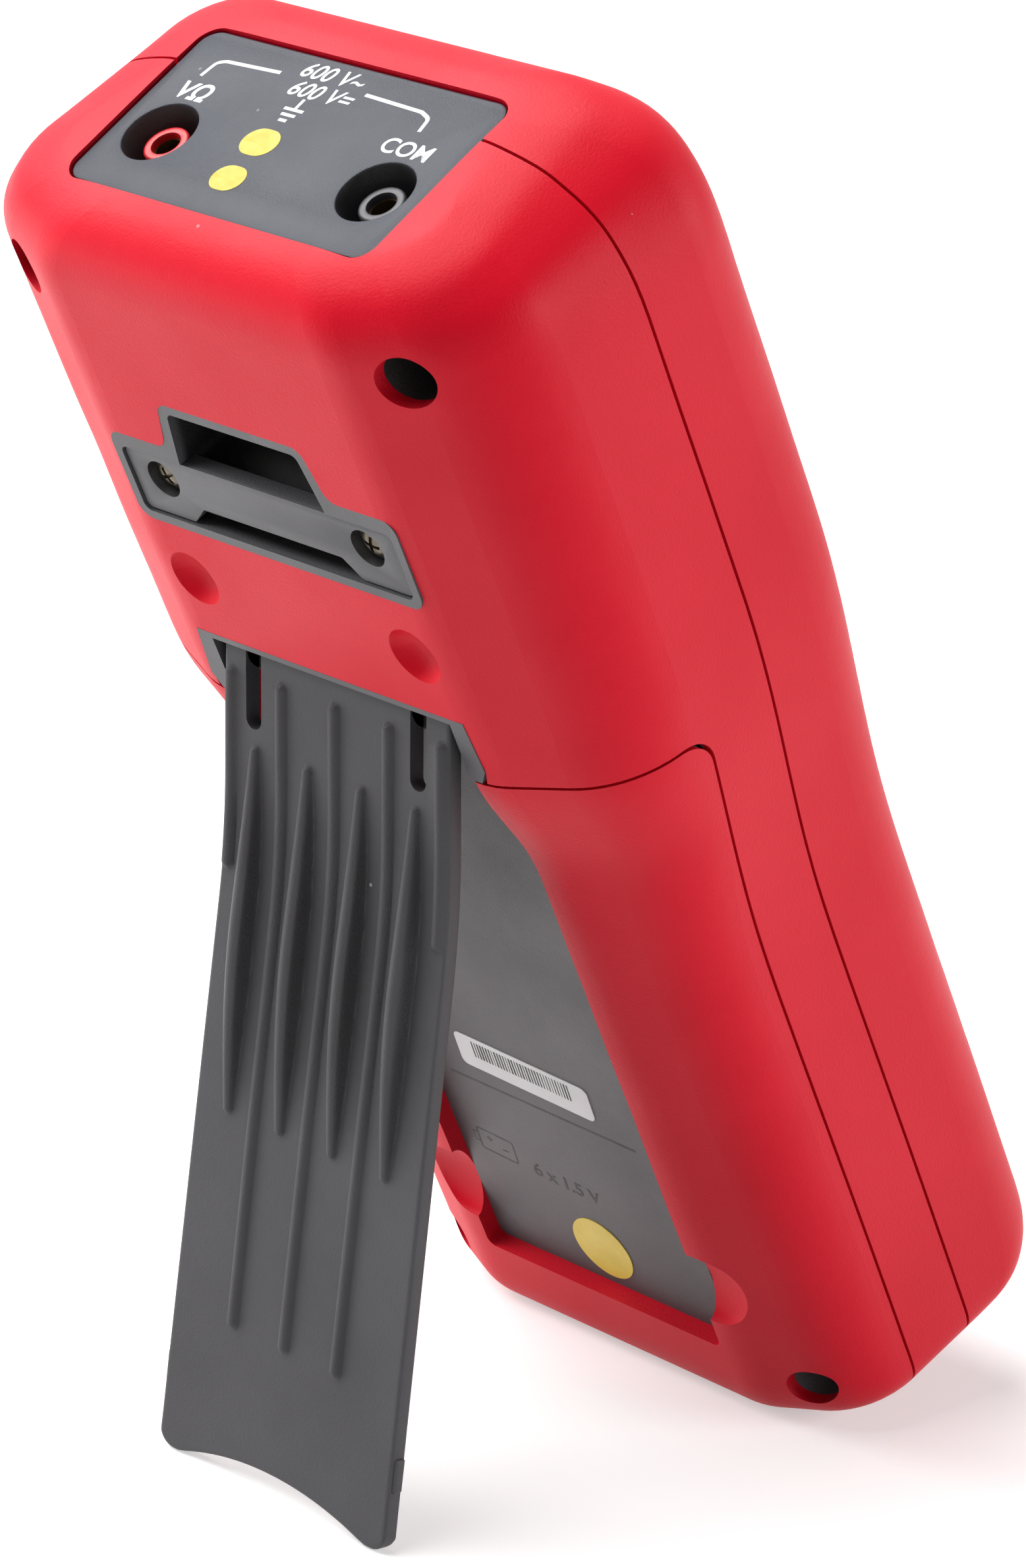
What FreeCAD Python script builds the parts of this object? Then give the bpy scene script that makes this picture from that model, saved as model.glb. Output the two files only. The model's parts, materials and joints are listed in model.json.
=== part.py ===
import FreeCAD, Part
import Sketcher
import math
import os

# Handheld multimeter standing on its open tilt stand.
# Local frame of the meter: x across, y from the bottom end up to the socket end,
# z from the back (0) to the front face. The whole meter is leaned back at the end.

Vector = FreeCAD.Vector
doc = FreeCAD.newDocument("Multimeter")
sheet = doc.addObject("Spreadsheet::Sheet", "Sizes")

drivingSizes = [
    # outer form of the case
    ("caseLength", 221.1, "bottom end to socket end, at the parting plane"),
    ("caseDepth", 56.0, "back of the head to the front face"),
    ("headHalf", 51.7, "half width of the head"),
    ("waistHalf", 46.15, "half width at the waist"),
    ("gripHalf", 46.7, "half width near the bottom"),
    ("headPlace", 151.5, "height where the head reaches full width"),
    ("waistPlace", 88.0, "height of the waist"),
    ("gripPlace", 25.0, "height of the widest grip"),
    ("gripBack", 4.6, "how far the grip's back lies in front of the head's back"),
    ("stepLow", 113.0, "lower end of the step in the back"),
    ("stepHigh", 137.0, "upper end of the step in the back"),
    ("backFlat", 28.5, "half width of the flat of the back"),
    ("chamferSlope", 0.39, "slope of the back's side facets"),
    ("sideDraft", 0.06, "slope of the sides, wider to the front"),
    ("topSlope", 0.1, "slope of the socket end, longer to the front"),
    ("softRadius", 14.0, "between the flat and the facets"),
    ("ridgeRadius", 17.5, "between the facets and the sides"),
    ("frontRadius", 11.0, "around the front face"),
    ("rearCornerWide", 15.5, "top corners of the back, across"),
    ("rearCornerTall", 11.6, "top corners of the back, along"),
    ("frontCornerWide", 29.0, "top corners of the front, across"),
    ("frontCornerTall", 23.0, "top corners of the front, along"),
    ("browRadius", 9.7, "between the socket end and the back"),
    ("topFrontRadius", 13.2, "between the socket end and the front"),
    ("bottomCorner", 8.1, "bottom corners"),
    ("bottomBack", 10.0, "between the bottom end and the back"),
    ("bottomFront", 14.3, "between the bottom end and the front"),
    ("skin", 1.8, "soft outer skin"),
    ("wall", 2.2, "hard case wall"),
    ("seam", 0.5, "open line between two skins"),
    ("coverGap", 0.3, "gap round the hard battery cover"),
    ("fitGap", 0.25, "usual clearance between loose pieces"),
    ("partingDepth", 34.0, "plane where the front and rear cases meet"),
    ("coverDepth", 21.7, "side edge of the battery cover"),
    ("coverTop", 135.0, "upper edge of the battery cover"),
    ("coverCorner", 5.0, "corner where the two edges meet"),
    # battery cover
    ("recessGap", 0.6, "gap beside the folded stand's foot in its recess"),
    ("recessLow", 17.4, "lower end of that recess"),
    ("recessDepth", 7.5, "depth of its floor"),
    ("recessFloor", 2.2, "thickness of its floor"),
    ("lipWidth", 1.6, "skin that turns down into the recess"),
    ("scoopPlace", 30.5, "height of the finger scoops"),
    ("scoopWide", 9.0, "finger scoop, across"),
    ("scoopTall", 7.0, "finger scoop, along"),
    ("scoopDeep", 3.0, "finger scoop, depth"),
    ("scoopWall", 1.2, "skin below scoops and dimples"),
    # strap bracket on the back of the head
    ("bracketLow", 166.4, "lower edge of the bracket's rim"),
    ("bracketShoulder", 181.8, "shoulder of the rim"),
    ("bracketHigh", 190.2, "upper edge of the rim"),
    ("bracketHalf", 28.75, "half width of the rim"),
    ("hatHalfLow", 16.4, "half width of the raised part at the shoulder"),
    ("hatHalfHigh", 14.3, "half width of the raised part at its top"),
    ("rimWidth", 1.5, "width of the rim"),
    ("bracketBlock", 13.5, "depth of the moulding behind the bracket"),
    ("channelDepth", 9.5, "depth of the strap channel"),
    ("channelHalf", 14.0, "half width of the strap channel"),
    ("plateTop", 0.4, "depth of the plate's face"),
    ("plateThick", 2.6, "thickness of the plate"),
    ("plateGap", 0.35, "gap round the plate"),
    ("bracketCorner", 2.4, "corner radius of the bracket's rim"),
    ("mouthCorner", 1.3, "corner radius inside the rim"),
    ("plateNotch", 3.0, "height of the slot below the plate"),
    ("plateScrewHalf", 20.64, "half spacing of the plate screws"),
    ("plateScrewPlace", 174.8, "height of the plate screws"),
    ("plateScrewHead", 3.05, "radius of the recess for a plate screw"),
    ("plateBoss", 4.2, "radius of the plate's screw bosses"),
    ("plateBossDepth", 6.4, "depth of the foot of those bosses"),
    ("dimpleHalf", 22.4, "half spacing of the dimples"),
    ("dimplePlace", 156.7, "height of the dimples"),
    ("dimpleRadius", 4.6, "radius of a dimple's mouth"),
    ("dimpleDeep", 2.6, "depth of a dimple"),
    # tilt stand, folded sizes
    ("hingePlace", 142.6, "height of the stand's hinge"),
    ("hingeDepth", 4.5, "depth of the hinge axis"),
    ("hingeBarrel", 4.0, "radius of the stand's barrel"),
    ("pinRadius", 2.0, "radius of the hinge pins"),
    ("pinLength", 3.1, "how far a pin stands out"),
    ("pinGap", 0.06, "running clearance round a pin"),
    ("standLength", 124.5, "hinge axis to foot"),
    ("standHalf", 23.0, "half width of the stand at its hinge"),
    ("footFlare", 1.3, "how much wider the stand is on each side at its foot"),
    ("standThick", 2.6, "thickness of the stand"),
    ("standBend", 29.2, "hinge axis to the bend"),
    ("standAngle", 32.6, "opening angle of the stand"),
    ("footArch", 3.4, "rise of the arched foot"),
    ("slotEdge", 4.5, "width of the stand outside a spring slot"),
    ("slotWide", 3.2, "width of the spring slots"),
    ("slotReach", 12.2, "hinge axis to the end of a slot"),
    ("ribHigh", 0.8, "height of the long ribs"),
    ("ribWide", 2.2, "width of ribs and fins"),
    ("ribPitch", 11.0, "spacing of the ribs"),
    ("ribStart", 3.6, "hinge axis to the start of the ribs"),
    ("ribEnd", 102.0, "hinge axis to the end of the long ribs"),
    ("sideRibEnd", 34.6, "hinge axis to the end of the side ribs"),
    ("finStart", 13.9, "hinge axis to the start of the fins"),
    ("finEnd", 70.9, "hinge axis to the end of the fins"),
    ("finHigh", 3.0, "height of the fins"),
    ("clickPlace", 112.5, "hinge axis to the side clicks"),
    ("clickLength", 4.6, "length of a side click"),
    ("clickHigh", 0.5, "how far a side click stands out"),
    ("pocketGap", 1.3, "gap beside the stand in its pocket"),
    ("pocketRim", 2.9, "width of the rim beside the pocket"),
    ("pocketTop", 146.1, "upper edge of that rim"),
    ("pocketLip", 1.0, "width of the rim along the top"),
    ("pocketDepth", 9.5, "depth of the pocket"),
    # screws
    ("caseScrewHalf", 37.9, "half spacing of the case and cover screws"),
    ("caseScrewPlace", 205.0, "height of the case screws"),
    ("caseHole", 4.1, "radius of a case screw well"),
    ("caseHeadDepth", 20.0, "depth of a case screw's seat"),
    ("coverScrewPlace", 11.2, "height of the cover screws"),
    ("coverHole", 3.6, "radius of a cover screw well"),
    ("coverHeadDepth", 14.5, "depth of a cover screw's seat"),
    ("screwHead", 2.9, "radius of a screw head"),
    ("screwHeadHigh", 1.9, "height of a screw head"),
    ("screwShank", 1.5, "radius of a screw shank"),
    ("postWall", 1.9, "wall of the screw posts"),
    # socket end
    ("panelHalf", 29.8, "half width of the socket panel"),
    ("panelBack", 9.9, "depth of the panel's back edge"),
    ("panelFront", 41.2, "depth of the panel's front edge"),
    ("panelCorner", 3.0, "corner radius of the panel"),
    ("panelSink", 0.5, "how far the panel lies below the skin"),
    ("panelThick", 1.6, "thickness of the panel"),
    ("socketHalf", 21.35, "half spacing of the sockets"),
    ("socketPlace", 21.4, "depth of the sockets' axes, from the back"),
    ("shroudRadius", 5.7, "radius of a socket's mouth"),
    ("shroudWall", 1.5, "wall of a socket's cup"),
    ("shroudDepth", 24.0, "depth of a socket's cup"),
    ("sleeveRadius", 3.4, "radius of the coloured sleeve"),
    ("sleeveTip", 2.6, "depth of the sleeve's tip"),
    ("barrelRadius", 2.7, "outer radius of the contact barrel"),
    ("barrelBore", 2.0, "bore of the contact barrel"),
    ("barrelTip", 3.8, "depth of the barrel's mouth"),
    ("barrelEnd", 30.0, "depth of the barrel's foot"),
    ("barrelFloor", 2.0, "closed end of the barrel"),
    # front face
    ("faceHeadHalf", 38.5, "half width of the hard face at the head"),
    ("faceGripHalf", 35.2, "half width of the hard face at the grip"),
    ("faceLow", 15.5, "lower end of the hard face"),
    ("faceHigh", 205.0, "upper end of the hard face"),
    ("faceSink", 0.3, "how far the hard face lies below the skin"),
    ("faceCorner", 8.0, "corner radius of the hard face"),
    ("windowWide", 68.0, "display window, across"),
    ("windowTall", 52.0, "display window, along"),
    ("windowPlace", 169.0, "height of the window's centre"),
    ("windowThick", 1.5, "thickness of the window"),
    ("windowRim", 3.0, "ledge that carries the window"),
    ("displayThick", 2.8, "thickness of the display glass"),
    ("keyWide", 14.0, "small key, across"),
    ("keyTall", 7.6, "small key, along"),
    ("keyPitch", 18.6, "spacing of the small keys"),
    ("upperKeys", 130.5, "height of the upper row of keys"),
    ("lowerKeys", 115.5, "height of the lower row of keys"),
    ("keyProud", 1.6, "how far a key stands out of the face"),
    ("keyTravel", 1.2, "travel of a key"),
    ("keyFlange", 1.0, "flange that holds a key in its hole"),
    ("testRadius", 8.5, "radius of the large test key"),
    ("testPlace", 27.0, "height of the large test key"),
    ("knobRadius", 20.0, "radius of the selector knob"),
    ("knobPlace", 71.0, "height of the selector knob"),
    ("knobHigh", 4.6, "how far the knob stands out of the face"),
    ("knobGrip", 10.5, "width of the knob's finger bar"),
    ("shaftRadius", 5.0, "radius of the knob's shaft"),
    ("rotorRadius", 16.0, "radius of the contact rotor"),
    ("rotorThick", 1.8, "thickness of the contact rotor"),
    # inside
    ("boardClear", 4.0, "from the front wall to the circuit board"),
    ("boardThick", 1.6, "thickness of the circuit board"),
    ("boardHeadHalf", 40.0, "half width of the board at the head"),
    ("boardGripHalf", 35.5, "half width of the board at the grip"),
    ("boardLow", 17.0, "lower end of the board"),
    ("boardHigh", 196.0, "upper end of the board"),
    ("matThick", 1.2, "thickness of the key mat"),
    ("cellRadius", 7.1, "radius of a battery cell"),
    ("cellLength", 50.5, "length of a battery cell with its nub"),
    ("cellPitch", 14.8, "spacing of the cells"),
    ("cellNub", 2.75, "radius of a cell's nub"),
    ("cellNubHigh", 1.2, "height of a cell's nub"),
    ("bayLow", 13.0, "lower end of the battery bay"),
    ("contactThick", 0.4, "thickness of a battery contact"),
    ("contactHigh", 1.8, "height of a battery contact's bump"),
    ("bayWall", 1.8, "walls of the battery bay"),
]
derivedSizes = [
    ("faceLevel", "=caseDepth - faceSink", "depth of the hard face"),
    ("faceUnder", "=caseDepth - skin - wall", "underside of the hard face"),
    ("boardDepth", "=faceUnder - boardClear", "front side of the circuit board"),
    ("boardBack", "=boardDepth - boardThick", "rear side of the circuit board"),
    ("footHalf", "=standHalf + footFlare", "half width of the stand at its foot"),
    ("recessHalf", "=footHalf + recessGap", "half width of the recess for the folded stand"),
    ("pocketHalf", "=standHalf + pocketGap", "half width of the stand's pocket"),
    ("pocketRimHalf", "=pocketHalf + pocketRim", "half width of the rim round the pocket"),
    ("slotInner", "=standHalf - slotEdge - slotWide", "inner side of the spring slots"),
    ("panelHalfLong", "=(panelFront - panelBack) / 2 / cos(atan(topSlope))",
     "half height of the socket panel"),
    ("socketAlong", "=(socketPlace - (panelFront + panelBack) / 2) / cos(atan(topSlope))",
     "socket axis from the panel's middle"),
    ("cellDepth", "=recessDepth + recessFloor + 0.6 + cellRadius", "depth of the cells' axes"),
    ("contactLong", "=contactThick + contactHigh", "whole length of a battery contact"),
    ("bayHigh", "=bayLow + 2 * contactLong + 2 * cellLength", "upper end of the battery bay"),
    ("plateSeat", "=plateTop + plateThick", "underside of the bracket's plate"),
    ("keyTop", "=faceLevel + keyProud", "top of the keys"),
    ("flangeTop", "=faceUnder - 0.3", "top of the keys' flanges"),
]
for row, (alias, value, note) in enumerate(drivingSizes + derivedSizes, start=1):
    sheet.set("A%d" % row, str(value))
    sheet.setAlias("A%d" % row, alias)
    sheet.set("B%d" % row, note)
doc.recompute()


def size(alias):
    return float(sheet.get(alias))


nodes = []


def keep(label, item, own=FreeCAD.Placement()):
    """Lists an object of the document as one node of the meter, with its own place in it."""
    item.Label = label
    nodes.append((item, own))


# --- helpers for Part primitives whose sizes and places follow the sheet ---

def bindPlace(item, corner):
    for axis, formula in zip("xyz", corner):
        item.setExpression("Placement.Base." + axis, str(formula))


def block(name, lengths, corner):
    item = doc.addObject("Part::Box", name)
    for side, formula in zip(("Length", "Width", "Height"), lengths):
        item.setExpression(side, str(formula))
    bindPlace(item, corner)
    return item


turns = {
    "x": FreeCAD.Rotation(Vector(0, 1, 0), 90),
    "y": FreeCAD.Rotation(Vector(1, 0, 0), -90),
    "z": FreeCAD.Rotation(),
}


def rod(name, radius, length, start, along="z"):
    item = doc.addObject("Part::Cylinder", name)
    item.Placement.Rotation = turns[along]
    item.setExpression("Radius", str(radius))
    item.setExpression("Height", str(length))
    bindPlace(item, start)
    return item


def join(name, items):
    item = doc.addObject("Part::MultiFuse", name)
    item.Shapes = items
    return item


def group(name, items):
    item = doc.addObject("Part::Compound", name)
    item.Links = items
    return item


def carve(name, base, tools):
    item = doc.addObject("Part::Cut", name)
    item.Base = base
    item.Tool = tools[0] if len(tools) == 1 else join(name + "_tools", tools)
    return item


# --- helpers for PartDesign bodies ---

def newBody(name):
    return doc.addObject("PartDesign::Body", name)


def newSketch(body, plane, offset=None):
    sketch = body.newObject("Sketcher::SketchObject", body.Name + "_sketch")
    origin = [f for f in body.Origin.OriginFeatures if f.Role == plane][0]
    sketch.AttachmentSupport = [(origin, "")]
    sketch.MapMode = "FlatFace"
    if offset is not None:
        sketch.setExpression("AttachmentOffset.Base.z", str(offset))
    return sketch


def polygon(sketch, corners):
    """Closed outline; each corner is a pair of formulas with its rough place worked out first."""
    values = [[evaluate(sketch, f) for f in corner] for corner in corners]
    first = sketch.GeometryCount
    for here, there in zip(values, values[1:] + values[:1]):
        line = Part.LineSegment(Vector(here[0], here[1], 0), Vector(there[0], there[1], 0))
        sketch.addGeometry(line, False)
    count = len(corners)
    for step in range(count):
        after = first + (step + 1) % count
        sketch.addConstraint(Sketcher.Constraint("Coincident", first + step, 2, after, 1))
    for step, corner in enumerate(corners):
        for kind, formula, value in zip(("DistanceX", "DistanceY"), corner, values[step]):
            index = sketch.addConstraint(Sketcher.Constraint(kind, -1, 1, first + step, 1, value))
            sketch.setExpression("Constraints[%d]" % index, str(formula))


def rectangle(sketch, x, y, wide, tall):
    """Rectangle about a centre, all four given as formulas."""
    left = "(%s) - (%s) / 2" % (x, wide)
    right = "(%s) + (%s) / 2" % (x, wide)
    low = "(%s) - (%s) / 2" % (y, tall)
    high = "(%s) + (%s) / 2" % (y, tall)
    polygon(sketch, [(left, low), (right, low), (right, high), (left, high)])


def disc(sketch, x, y, radius):
    centre = Vector(evaluate(sketch, x), evaluate(sketch, y), 0)
    value = evaluate(sketch, radius)
    index = sketch.addGeometry(Part.Circle(centre, Vector(0, 0, 1), value), False)
    for kind, formula, start in (("DistanceX", x, centre.x), ("DistanceY", y, centre.y)):
        held = sketch.addConstraint(Sketcher.Constraint(kind, -1, 1, index, 3, start))
        sketch.setExpression("Constraints[%d]" % held, str(formula))
    held = sketch.addConstraint(Sketcher.Constraint("Radius", index, value))
    sketch.setExpression("Constraints[%d]" % held, str(radius))


def evaluate(item, formula):
    value = item.evalExpression(str(formula))
    return float(getattr(value, "Value", value))


def pad(body, sketch, length):
    feature = body.newObject("PartDesign::Pad", body.Name + "_pad")
    feature.Profile = sketch
    feature.setExpression("Length", str(length))
    return feature


def turned(name, profile, x, y):
    """Body of revolution about a line along z; the profile is (radius, depth) pairs."""
    body = newBody(name)
    sketch = newSketch(body, "XZ_Plane", "-(%s)" % y)
    sketch.setExpression("AttachmentOffset.Base.x", str(x))
    polygon(sketch, profile)
    feature = body.newObject("PartDesign::Revolution", name + "_turn")
    feature.Profile = sketch
    feature.ReferenceAxis = (sketch, ["V_Axis"])
    feature.Angle = 360.0
    return body


def uprights(shape):
    """Straight edges of a shape that run along z."""
    found = []
    for edge in shape.Edges:
        if edge.Curve.TypeId == "Part::GeomLine" and abs(edge.tangentAt(edge.FirstParameter).z) > 0.999:
            found.append(edge)
    return found


def roundCorners(body, base, radius):
    """Rounds the edges along z of a body's last feature."""
    doc.recompute()
    names = []
    for index, edge in enumerate(base.Shape.Edges, start=1):
        if edge.Curve.TypeId == "Part::GeomLine" and abs(edge.tangentAt(edge.FirstParameter).z) > 0.999:
            names.append("Edge%d" % index)
    feature = body.newObject("PartDesign::Fillet", body.Name + "_corners")
    feature.Base = (base, names)
    feature.setExpression("Radius", str(radius))
    return feature


def plateBody(name, x, y, wide, tall, low, high, radius):
    """Body: a block about (x, y) from one depth to another, with rounded upright corners."""
    body = newBody(name)
    sketch = newSketch(body, "XY_Plane", low)
    rectangle(sketch, x, y, wide, tall)
    roundCorners(body, pad(body, sketch, "(%s) - (%s)" % (high, low)), radius)
    return body


# --- the moulded outer form, worked out as sections across the meter ---

def easeBetween(low, high, share):
    share = min(max(share, 0.0), 1.0)
    return low + (high - low) * (1 - math.cos(math.pi * share)) / 2


def halfWidth(y):
    grip, waist, head = size("gripPlace"), size("waistPlace"), size("headPlace")
    if y < waist:
        return easeBetween(size("gripHalf"), size("waistHalf"), (y - grip) / (waist - grip))
    return easeBetween(size("waistHalf"), size("headHalf"), (y - waist) / (head - waist))


def backDepth(y):
    low, high = size("stepLow"), size("stepHigh")
    return easeBetween(size("gripBack"), 0.0, (y - low) / (high - low))


def roundOff(distance, tall, wide):
    """How far an elliptical corner has fallen away at a distance from the end."""
    if distance >= tall:
        return 0.0
    return wide * (1 - math.sqrt(max(0.0, 1 - (1 - distance / tall) ** 2)))


def endRounding(y, inset, topTall, topWide, bottom):
    fromTop = size("caseLength") - inset - y
    fromBottom = y - inset
    return (roundOff(fromTop, topTall - inset, topWide - inset)
            + roundOff(fromBottom, bottom - inset, bottom - inset))


def sectionCorners(y, inset):
    """Half section of the form at y, set in by a thickness: (x, z, radius) of each corner."""
    rearSide = endRounding(y, inset, size("rearCornerTall"), size("rearCornerWide"), size("bottomCorner"))
    frontSide = endRounding(y, inset, size("frontCornerTall"), size("frontCornerWide"), size("bottomCorner"))
    rear = endRounding(y, inset, size("browRadius"), size("browRadius"), size("bottomBack"))
    face = endRounding(y, inset, size("topFrontRadius"), size("topFrontRadius"), size("bottomFront"))
    half = halfWidth(y) - rearSide - inset
    frontHalf = halfWidth(y) - frontSide - inset
    rearZ = backDepth(y) + rear + inset
    faceZ = size("caseDepth") - face - inset
    slope, draft, parting = size("chamferSlope"), size("sideDraft"), size("partingDepth")
    flat = size("backFlat") * (half + inset) / halfWidth(y) - inset * slope / 2
    ridgeX = (half + (rearZ - flat * slope - parting) * draft) / (1 - slope * draft)
    ridgeZ = rearZ + (ridgeX - flat) * slope
    return [
        (0.0, rearZ, 0.0),
        (flat, rearZ, size("softRadius")),
        (ridgeX, ridgeZ, size("ridgeRadius") - inset),
        (frontHalf + (faceZ - parting) * draft, faceZ, size("frontRadius") - inset),
        (0.0, faceZ, 0.0),
    ]


def roundedPath(corners):
    """Arcs along a row of corners, as (start, middle, end); short sides limit their radius."""
    path = []
    for before, here, after in zip(corners, corners[1:], corners[2:]):
        back = Vector(before[0] - here[0], before[1] - here[1], 0)
        on = Vector(after[0] - here[0], after[1] - here[1], 0)
        room = 0.47 * min(back.Length, on.Length)
        back.normalize()
        on.normalize()
        halfAngle = back.getAngle(on) / 2
        corner = Vector(here[0], here[1], 0)
        reach = min(here[2] / math.tan(halfAngle), room)
        radius = reach * math.tan(halfAngle)
        inward = (back + on).normalize()
        middle = corner + inward * (radius / math.sin(halfAngle) - radius)
        path.append((corner + back * reach, middle, corner + on * reach))
    return path


def sectionWire(y, inset):
    arcs = roundedPath(sectionCorners(y, inset))
    lean = size("topSlope") * easeBetween(0.0, 1.0, (y - size("headPlace")) / 50.0)

    def inSpace(point, side):
        return Vector(side * point.x, y + (point.y - size("partingDepth")) * lean, point.y)

    right = [[inSpace(point, 1) for point in arc] for arc in arcs]
    left = [[inSpace(point, -1) for point in reversed(arc)] for arc in reversed(arcs)]
    ring = right + left
    edges = []
    for arc, following in zip(ring, ring[1:] + ring[:1]):
        edges.append(Part.Arc(*arc).toShape())
        edges.append(Part.LineSegment(arc[2], following[0]).toShape())
    return Part.Wire(edges)


def formStations(inset):
    """Heights of the sections: close together at both ends and at the step in the back."""
    bottom = size("bottomFront") - inset
    top = size("frontCornerTall") - inset
    low = [inset + bottom * (1 - math.cos(math.radians(15 * step))) for step in range(7)]
    high = [size("caseLength") - inset - top * (1 - math.cos(math.radians(11.25 * step)))
            for step in range(8, -1, -1)]
    stepLow, stepHigh = size("stepLow"), size("stepHigh")
    riser = [stepLow + (stepHigh - stepLow) * share / 5 for share in range(-1, 7)]
    gripSpan = riser[0] - low[-1]
    headSpan = high[0] - riser[-1]
    grip = [low[-1] + gripSpan * share for share in (0.12, 0.27, 0.45, 0.63, 0.8, 0.92)]
    head = [riser[-1] + headSpan * share for share in (0.18, 0.4, 0.65)]
    return low + grip + riser + head + high


def caseForm(inset):
    return Part.makeLoft([sectionWire(y, inset) for y in formStations(inset)], True, False)


# --- plain solids for cutting and building up the case ---

def slab(x0, x1, y0, y1, z0, z1):
    return Part.makeBox(x1 - x0, y1 - y0, z1 - z0, Vector(x0, y0, z0))


def post(x, y, z0, z1, radius):
    return Part.makeCylinder(radius, z1 - z0, Vector(x, y, z0))


def prism(points, z0, z1, radius=0.0):
    ring = [Vector(x, y, z0) for x, y in points]
    solid = Part.Face(Part.makePolygon(ring + ring[:1])).extrude(Vector(0, 0, z1 - z0))
    return solid.makeFillet(radius, uprights(solid)) if radius else solid


def mirrored(points):
    return points + [(-x, y) for x, y in reversed(points)]


def both(make):
    """The same solid made on the right and on the left."""
    return [make(1), make(-1)]


def hollow(x, y, z, wide, tall, deep):
    """Ellipsoid about a point, for scoops and dimples."""
    ball = Part.makeSphere(1.0)
    stretch = FreeCAD.Matrix()
    stretch.scale(Vector(wide, tall, deep))
    solid = ball.transformGeometry(stretch)
    solid.translate(Vector(x, y, z))
    return solid


def combine(solids):
    return solids[0].multiFuse(solids[1:])


# --- case shells ---

skin, wall = size("skin"), size("wall")
outerForm = caseForm(0.0)
middleForm = caseForm(skin)
innerForm = caseForm(skin + wall)
coreForm = caseForm(skin + wall / 2)

wide, deep, tall = 2 * size("headHalf"), 2 * size("caseDepth"), 2 * size("caseLength")
parting, coverDepth, coverTop = size("partingDepth"), size("coverDepth"), size("coverTop")


def everything(z0, z1):
    return slab(-wide, wide, -tall, tall, z0, z1)


def coverRegion(gap):
    """Space of the battery cover, with its two edges moved out by a gap."""
    top, side, corner = coverTop + gap, coverDepth + gap, size("coverCorner")
    solid = slab(-wide, wide, -tall, top, -deep, side)
    edges = [e for e in solid.Edges
             if e.BoundBox.ZMin > side - 1e-6 and e.BoundBox.YMin > top - 1e-6]
    return solid.makeFillet(corner, edges)


def bracketOutline(shrink):
    low, shoulder, high = size("bracketLow"), size("bracketShoulder"), size("bracketHigh")
    return mirrored([
        (size("bracketHalf") - shrink, low + shrink),
        (size("bracketHalf") - shrink, shoulder - shrink),
        (size("hatHalfLow") - shrink, shoulder - shrink),
        (size("hatHalfHigh") - shrink, high - shrink),
    ])


def faceOutline(shrink):
    """Edge of the hard face; it follows the waist."""
    half = size("faceHeadHalf") - shrink
    grip = size("faceGripHalf") - shrink
    low, high = size("faceLow") + shrink, size("faceHigh") - shrink
    return mirrored([
        (grip, low),
        (grip, size("waistPlace")),
        (half, size("headPlace") - 4),
        (half, high),
    ])


# socket end: depth is measured inwards from the end face, "along" from its middle to the front
endAngle = math.degrees(math.atan(size("topSlope")))
panelMiddle = (size("panelBack") + size("panelFront")) / 2
panelTurn = FreeCAD.Rotation(Vector(1, 0, 0), 90 - endAngle)
panelOrigin = Vector(0, size("caseLength") + (panelMiddle - parting) * size("topSlope"), panelMiddle)
panelPlace = FreeCAD.Placement(panelOrigin, panelTurn)
panelHalfLong, socketAlong = size("panelHalfLong"), size("socketAlong")


def atSocketEnd(solid):
    moved = solid.copy()
    moved.Placement = panelPlace.multiply(moved.Placement)
    return moved


def panelSpace(grow, depth0, depth1):
    halfX, halfY = size("panelHalf") + grow, panelHalfLong + grow
    points = [(halfX, -halfY), (halfX, halfY), (-halfX, halfY), (-halfX, -halfY)]
    corner = max(size("panelCorner") + grow, 1.0)
    return atSocketEnd(prism(points, depth0, depth1, corner))


def cupSpace(side, grow):
    radius = size("shroudRadius") + size("shroudWall") + grow
    return atSocketEnd(post(side * size("socketHalf"), socketAlong, -5.0, size("shroudDepth") + 8, radius))


panelSeat = panelSpace(size("fitGap"), -8.0, size("panelSink") + size("panelThick"))
panelWindow = panelSpace(-4.0, 0.0, size("panelSink") + size("panelThick") + 6.0)
cupSpaces = both(lambda side: cupSpace(side, 1.0))
socketCuts = [panelSeat, panelWindow] + cupSpaces

caseScrewX, caseScrewY = size("caseScrewHalf"), size("caseScrewPlace")
coverScrewY = size("coverScrewPlace")
postWall, shank = size("postWall"), size("screwShank")
loose = shank + size("fitGap")

# hard front case: shell, face, screw bosses
faceZ = size("caseDepth") - size("faceSink")
innerFaceZ = size("caseDepth") - skin - wall
facePlate = prism(faceOutline(0.0), innerFaceZ - 6.0, faceZ, size("faceCorner"))
boardZ = size("boardDepth")
boardScrews = [(side * x, y) for side in (1, -1)
               for x, y in ((size("boardHeadHalf") - 5.0, size("lowerKeys") + 2.5),
                            (size("boardGripHalf") - 5.5, size("testPlace") + 14.0))]
frontSolid = middleForm.common(everything(parting, deep)).fuse(facePlate)
frontParts = [frontSolid.cut(innerForm)]
frontParts += [post(x, y, boardZ, innerFaceZ + 0.5, 3.2) for x, y in boardScrews]
frontParts += both(lambda s: post(s * caseScrewX, caseScrewY, parting, innerFaceZ + 0.5,
                                  shank + 2 * postWall).common(coreForm))
windowX, windowY = size("windowWide") / 2, size("windowTall") / 2
windowMid = size("windowPlace")
keyXs = [-1.5, -0.5, 0.5, 1.5]
keyPlaces = [(share * size("keyPitch"), size("upperKeys")) for share in keyXs]
keyPlaces += [(share * size("keyPitch"), size("lowerKeys")) for share in (-1, 1)]
gap = size("fitGap")


def aroundWindow(grow, z0, z1, radius):
    low, high = windowMid - windowY - grow, windowMid + windowY + grow
    half = windowX + grow
    return prism([(half, low), (half, high), (-half, high), (-half, low)], z0, z1, radius)


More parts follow.
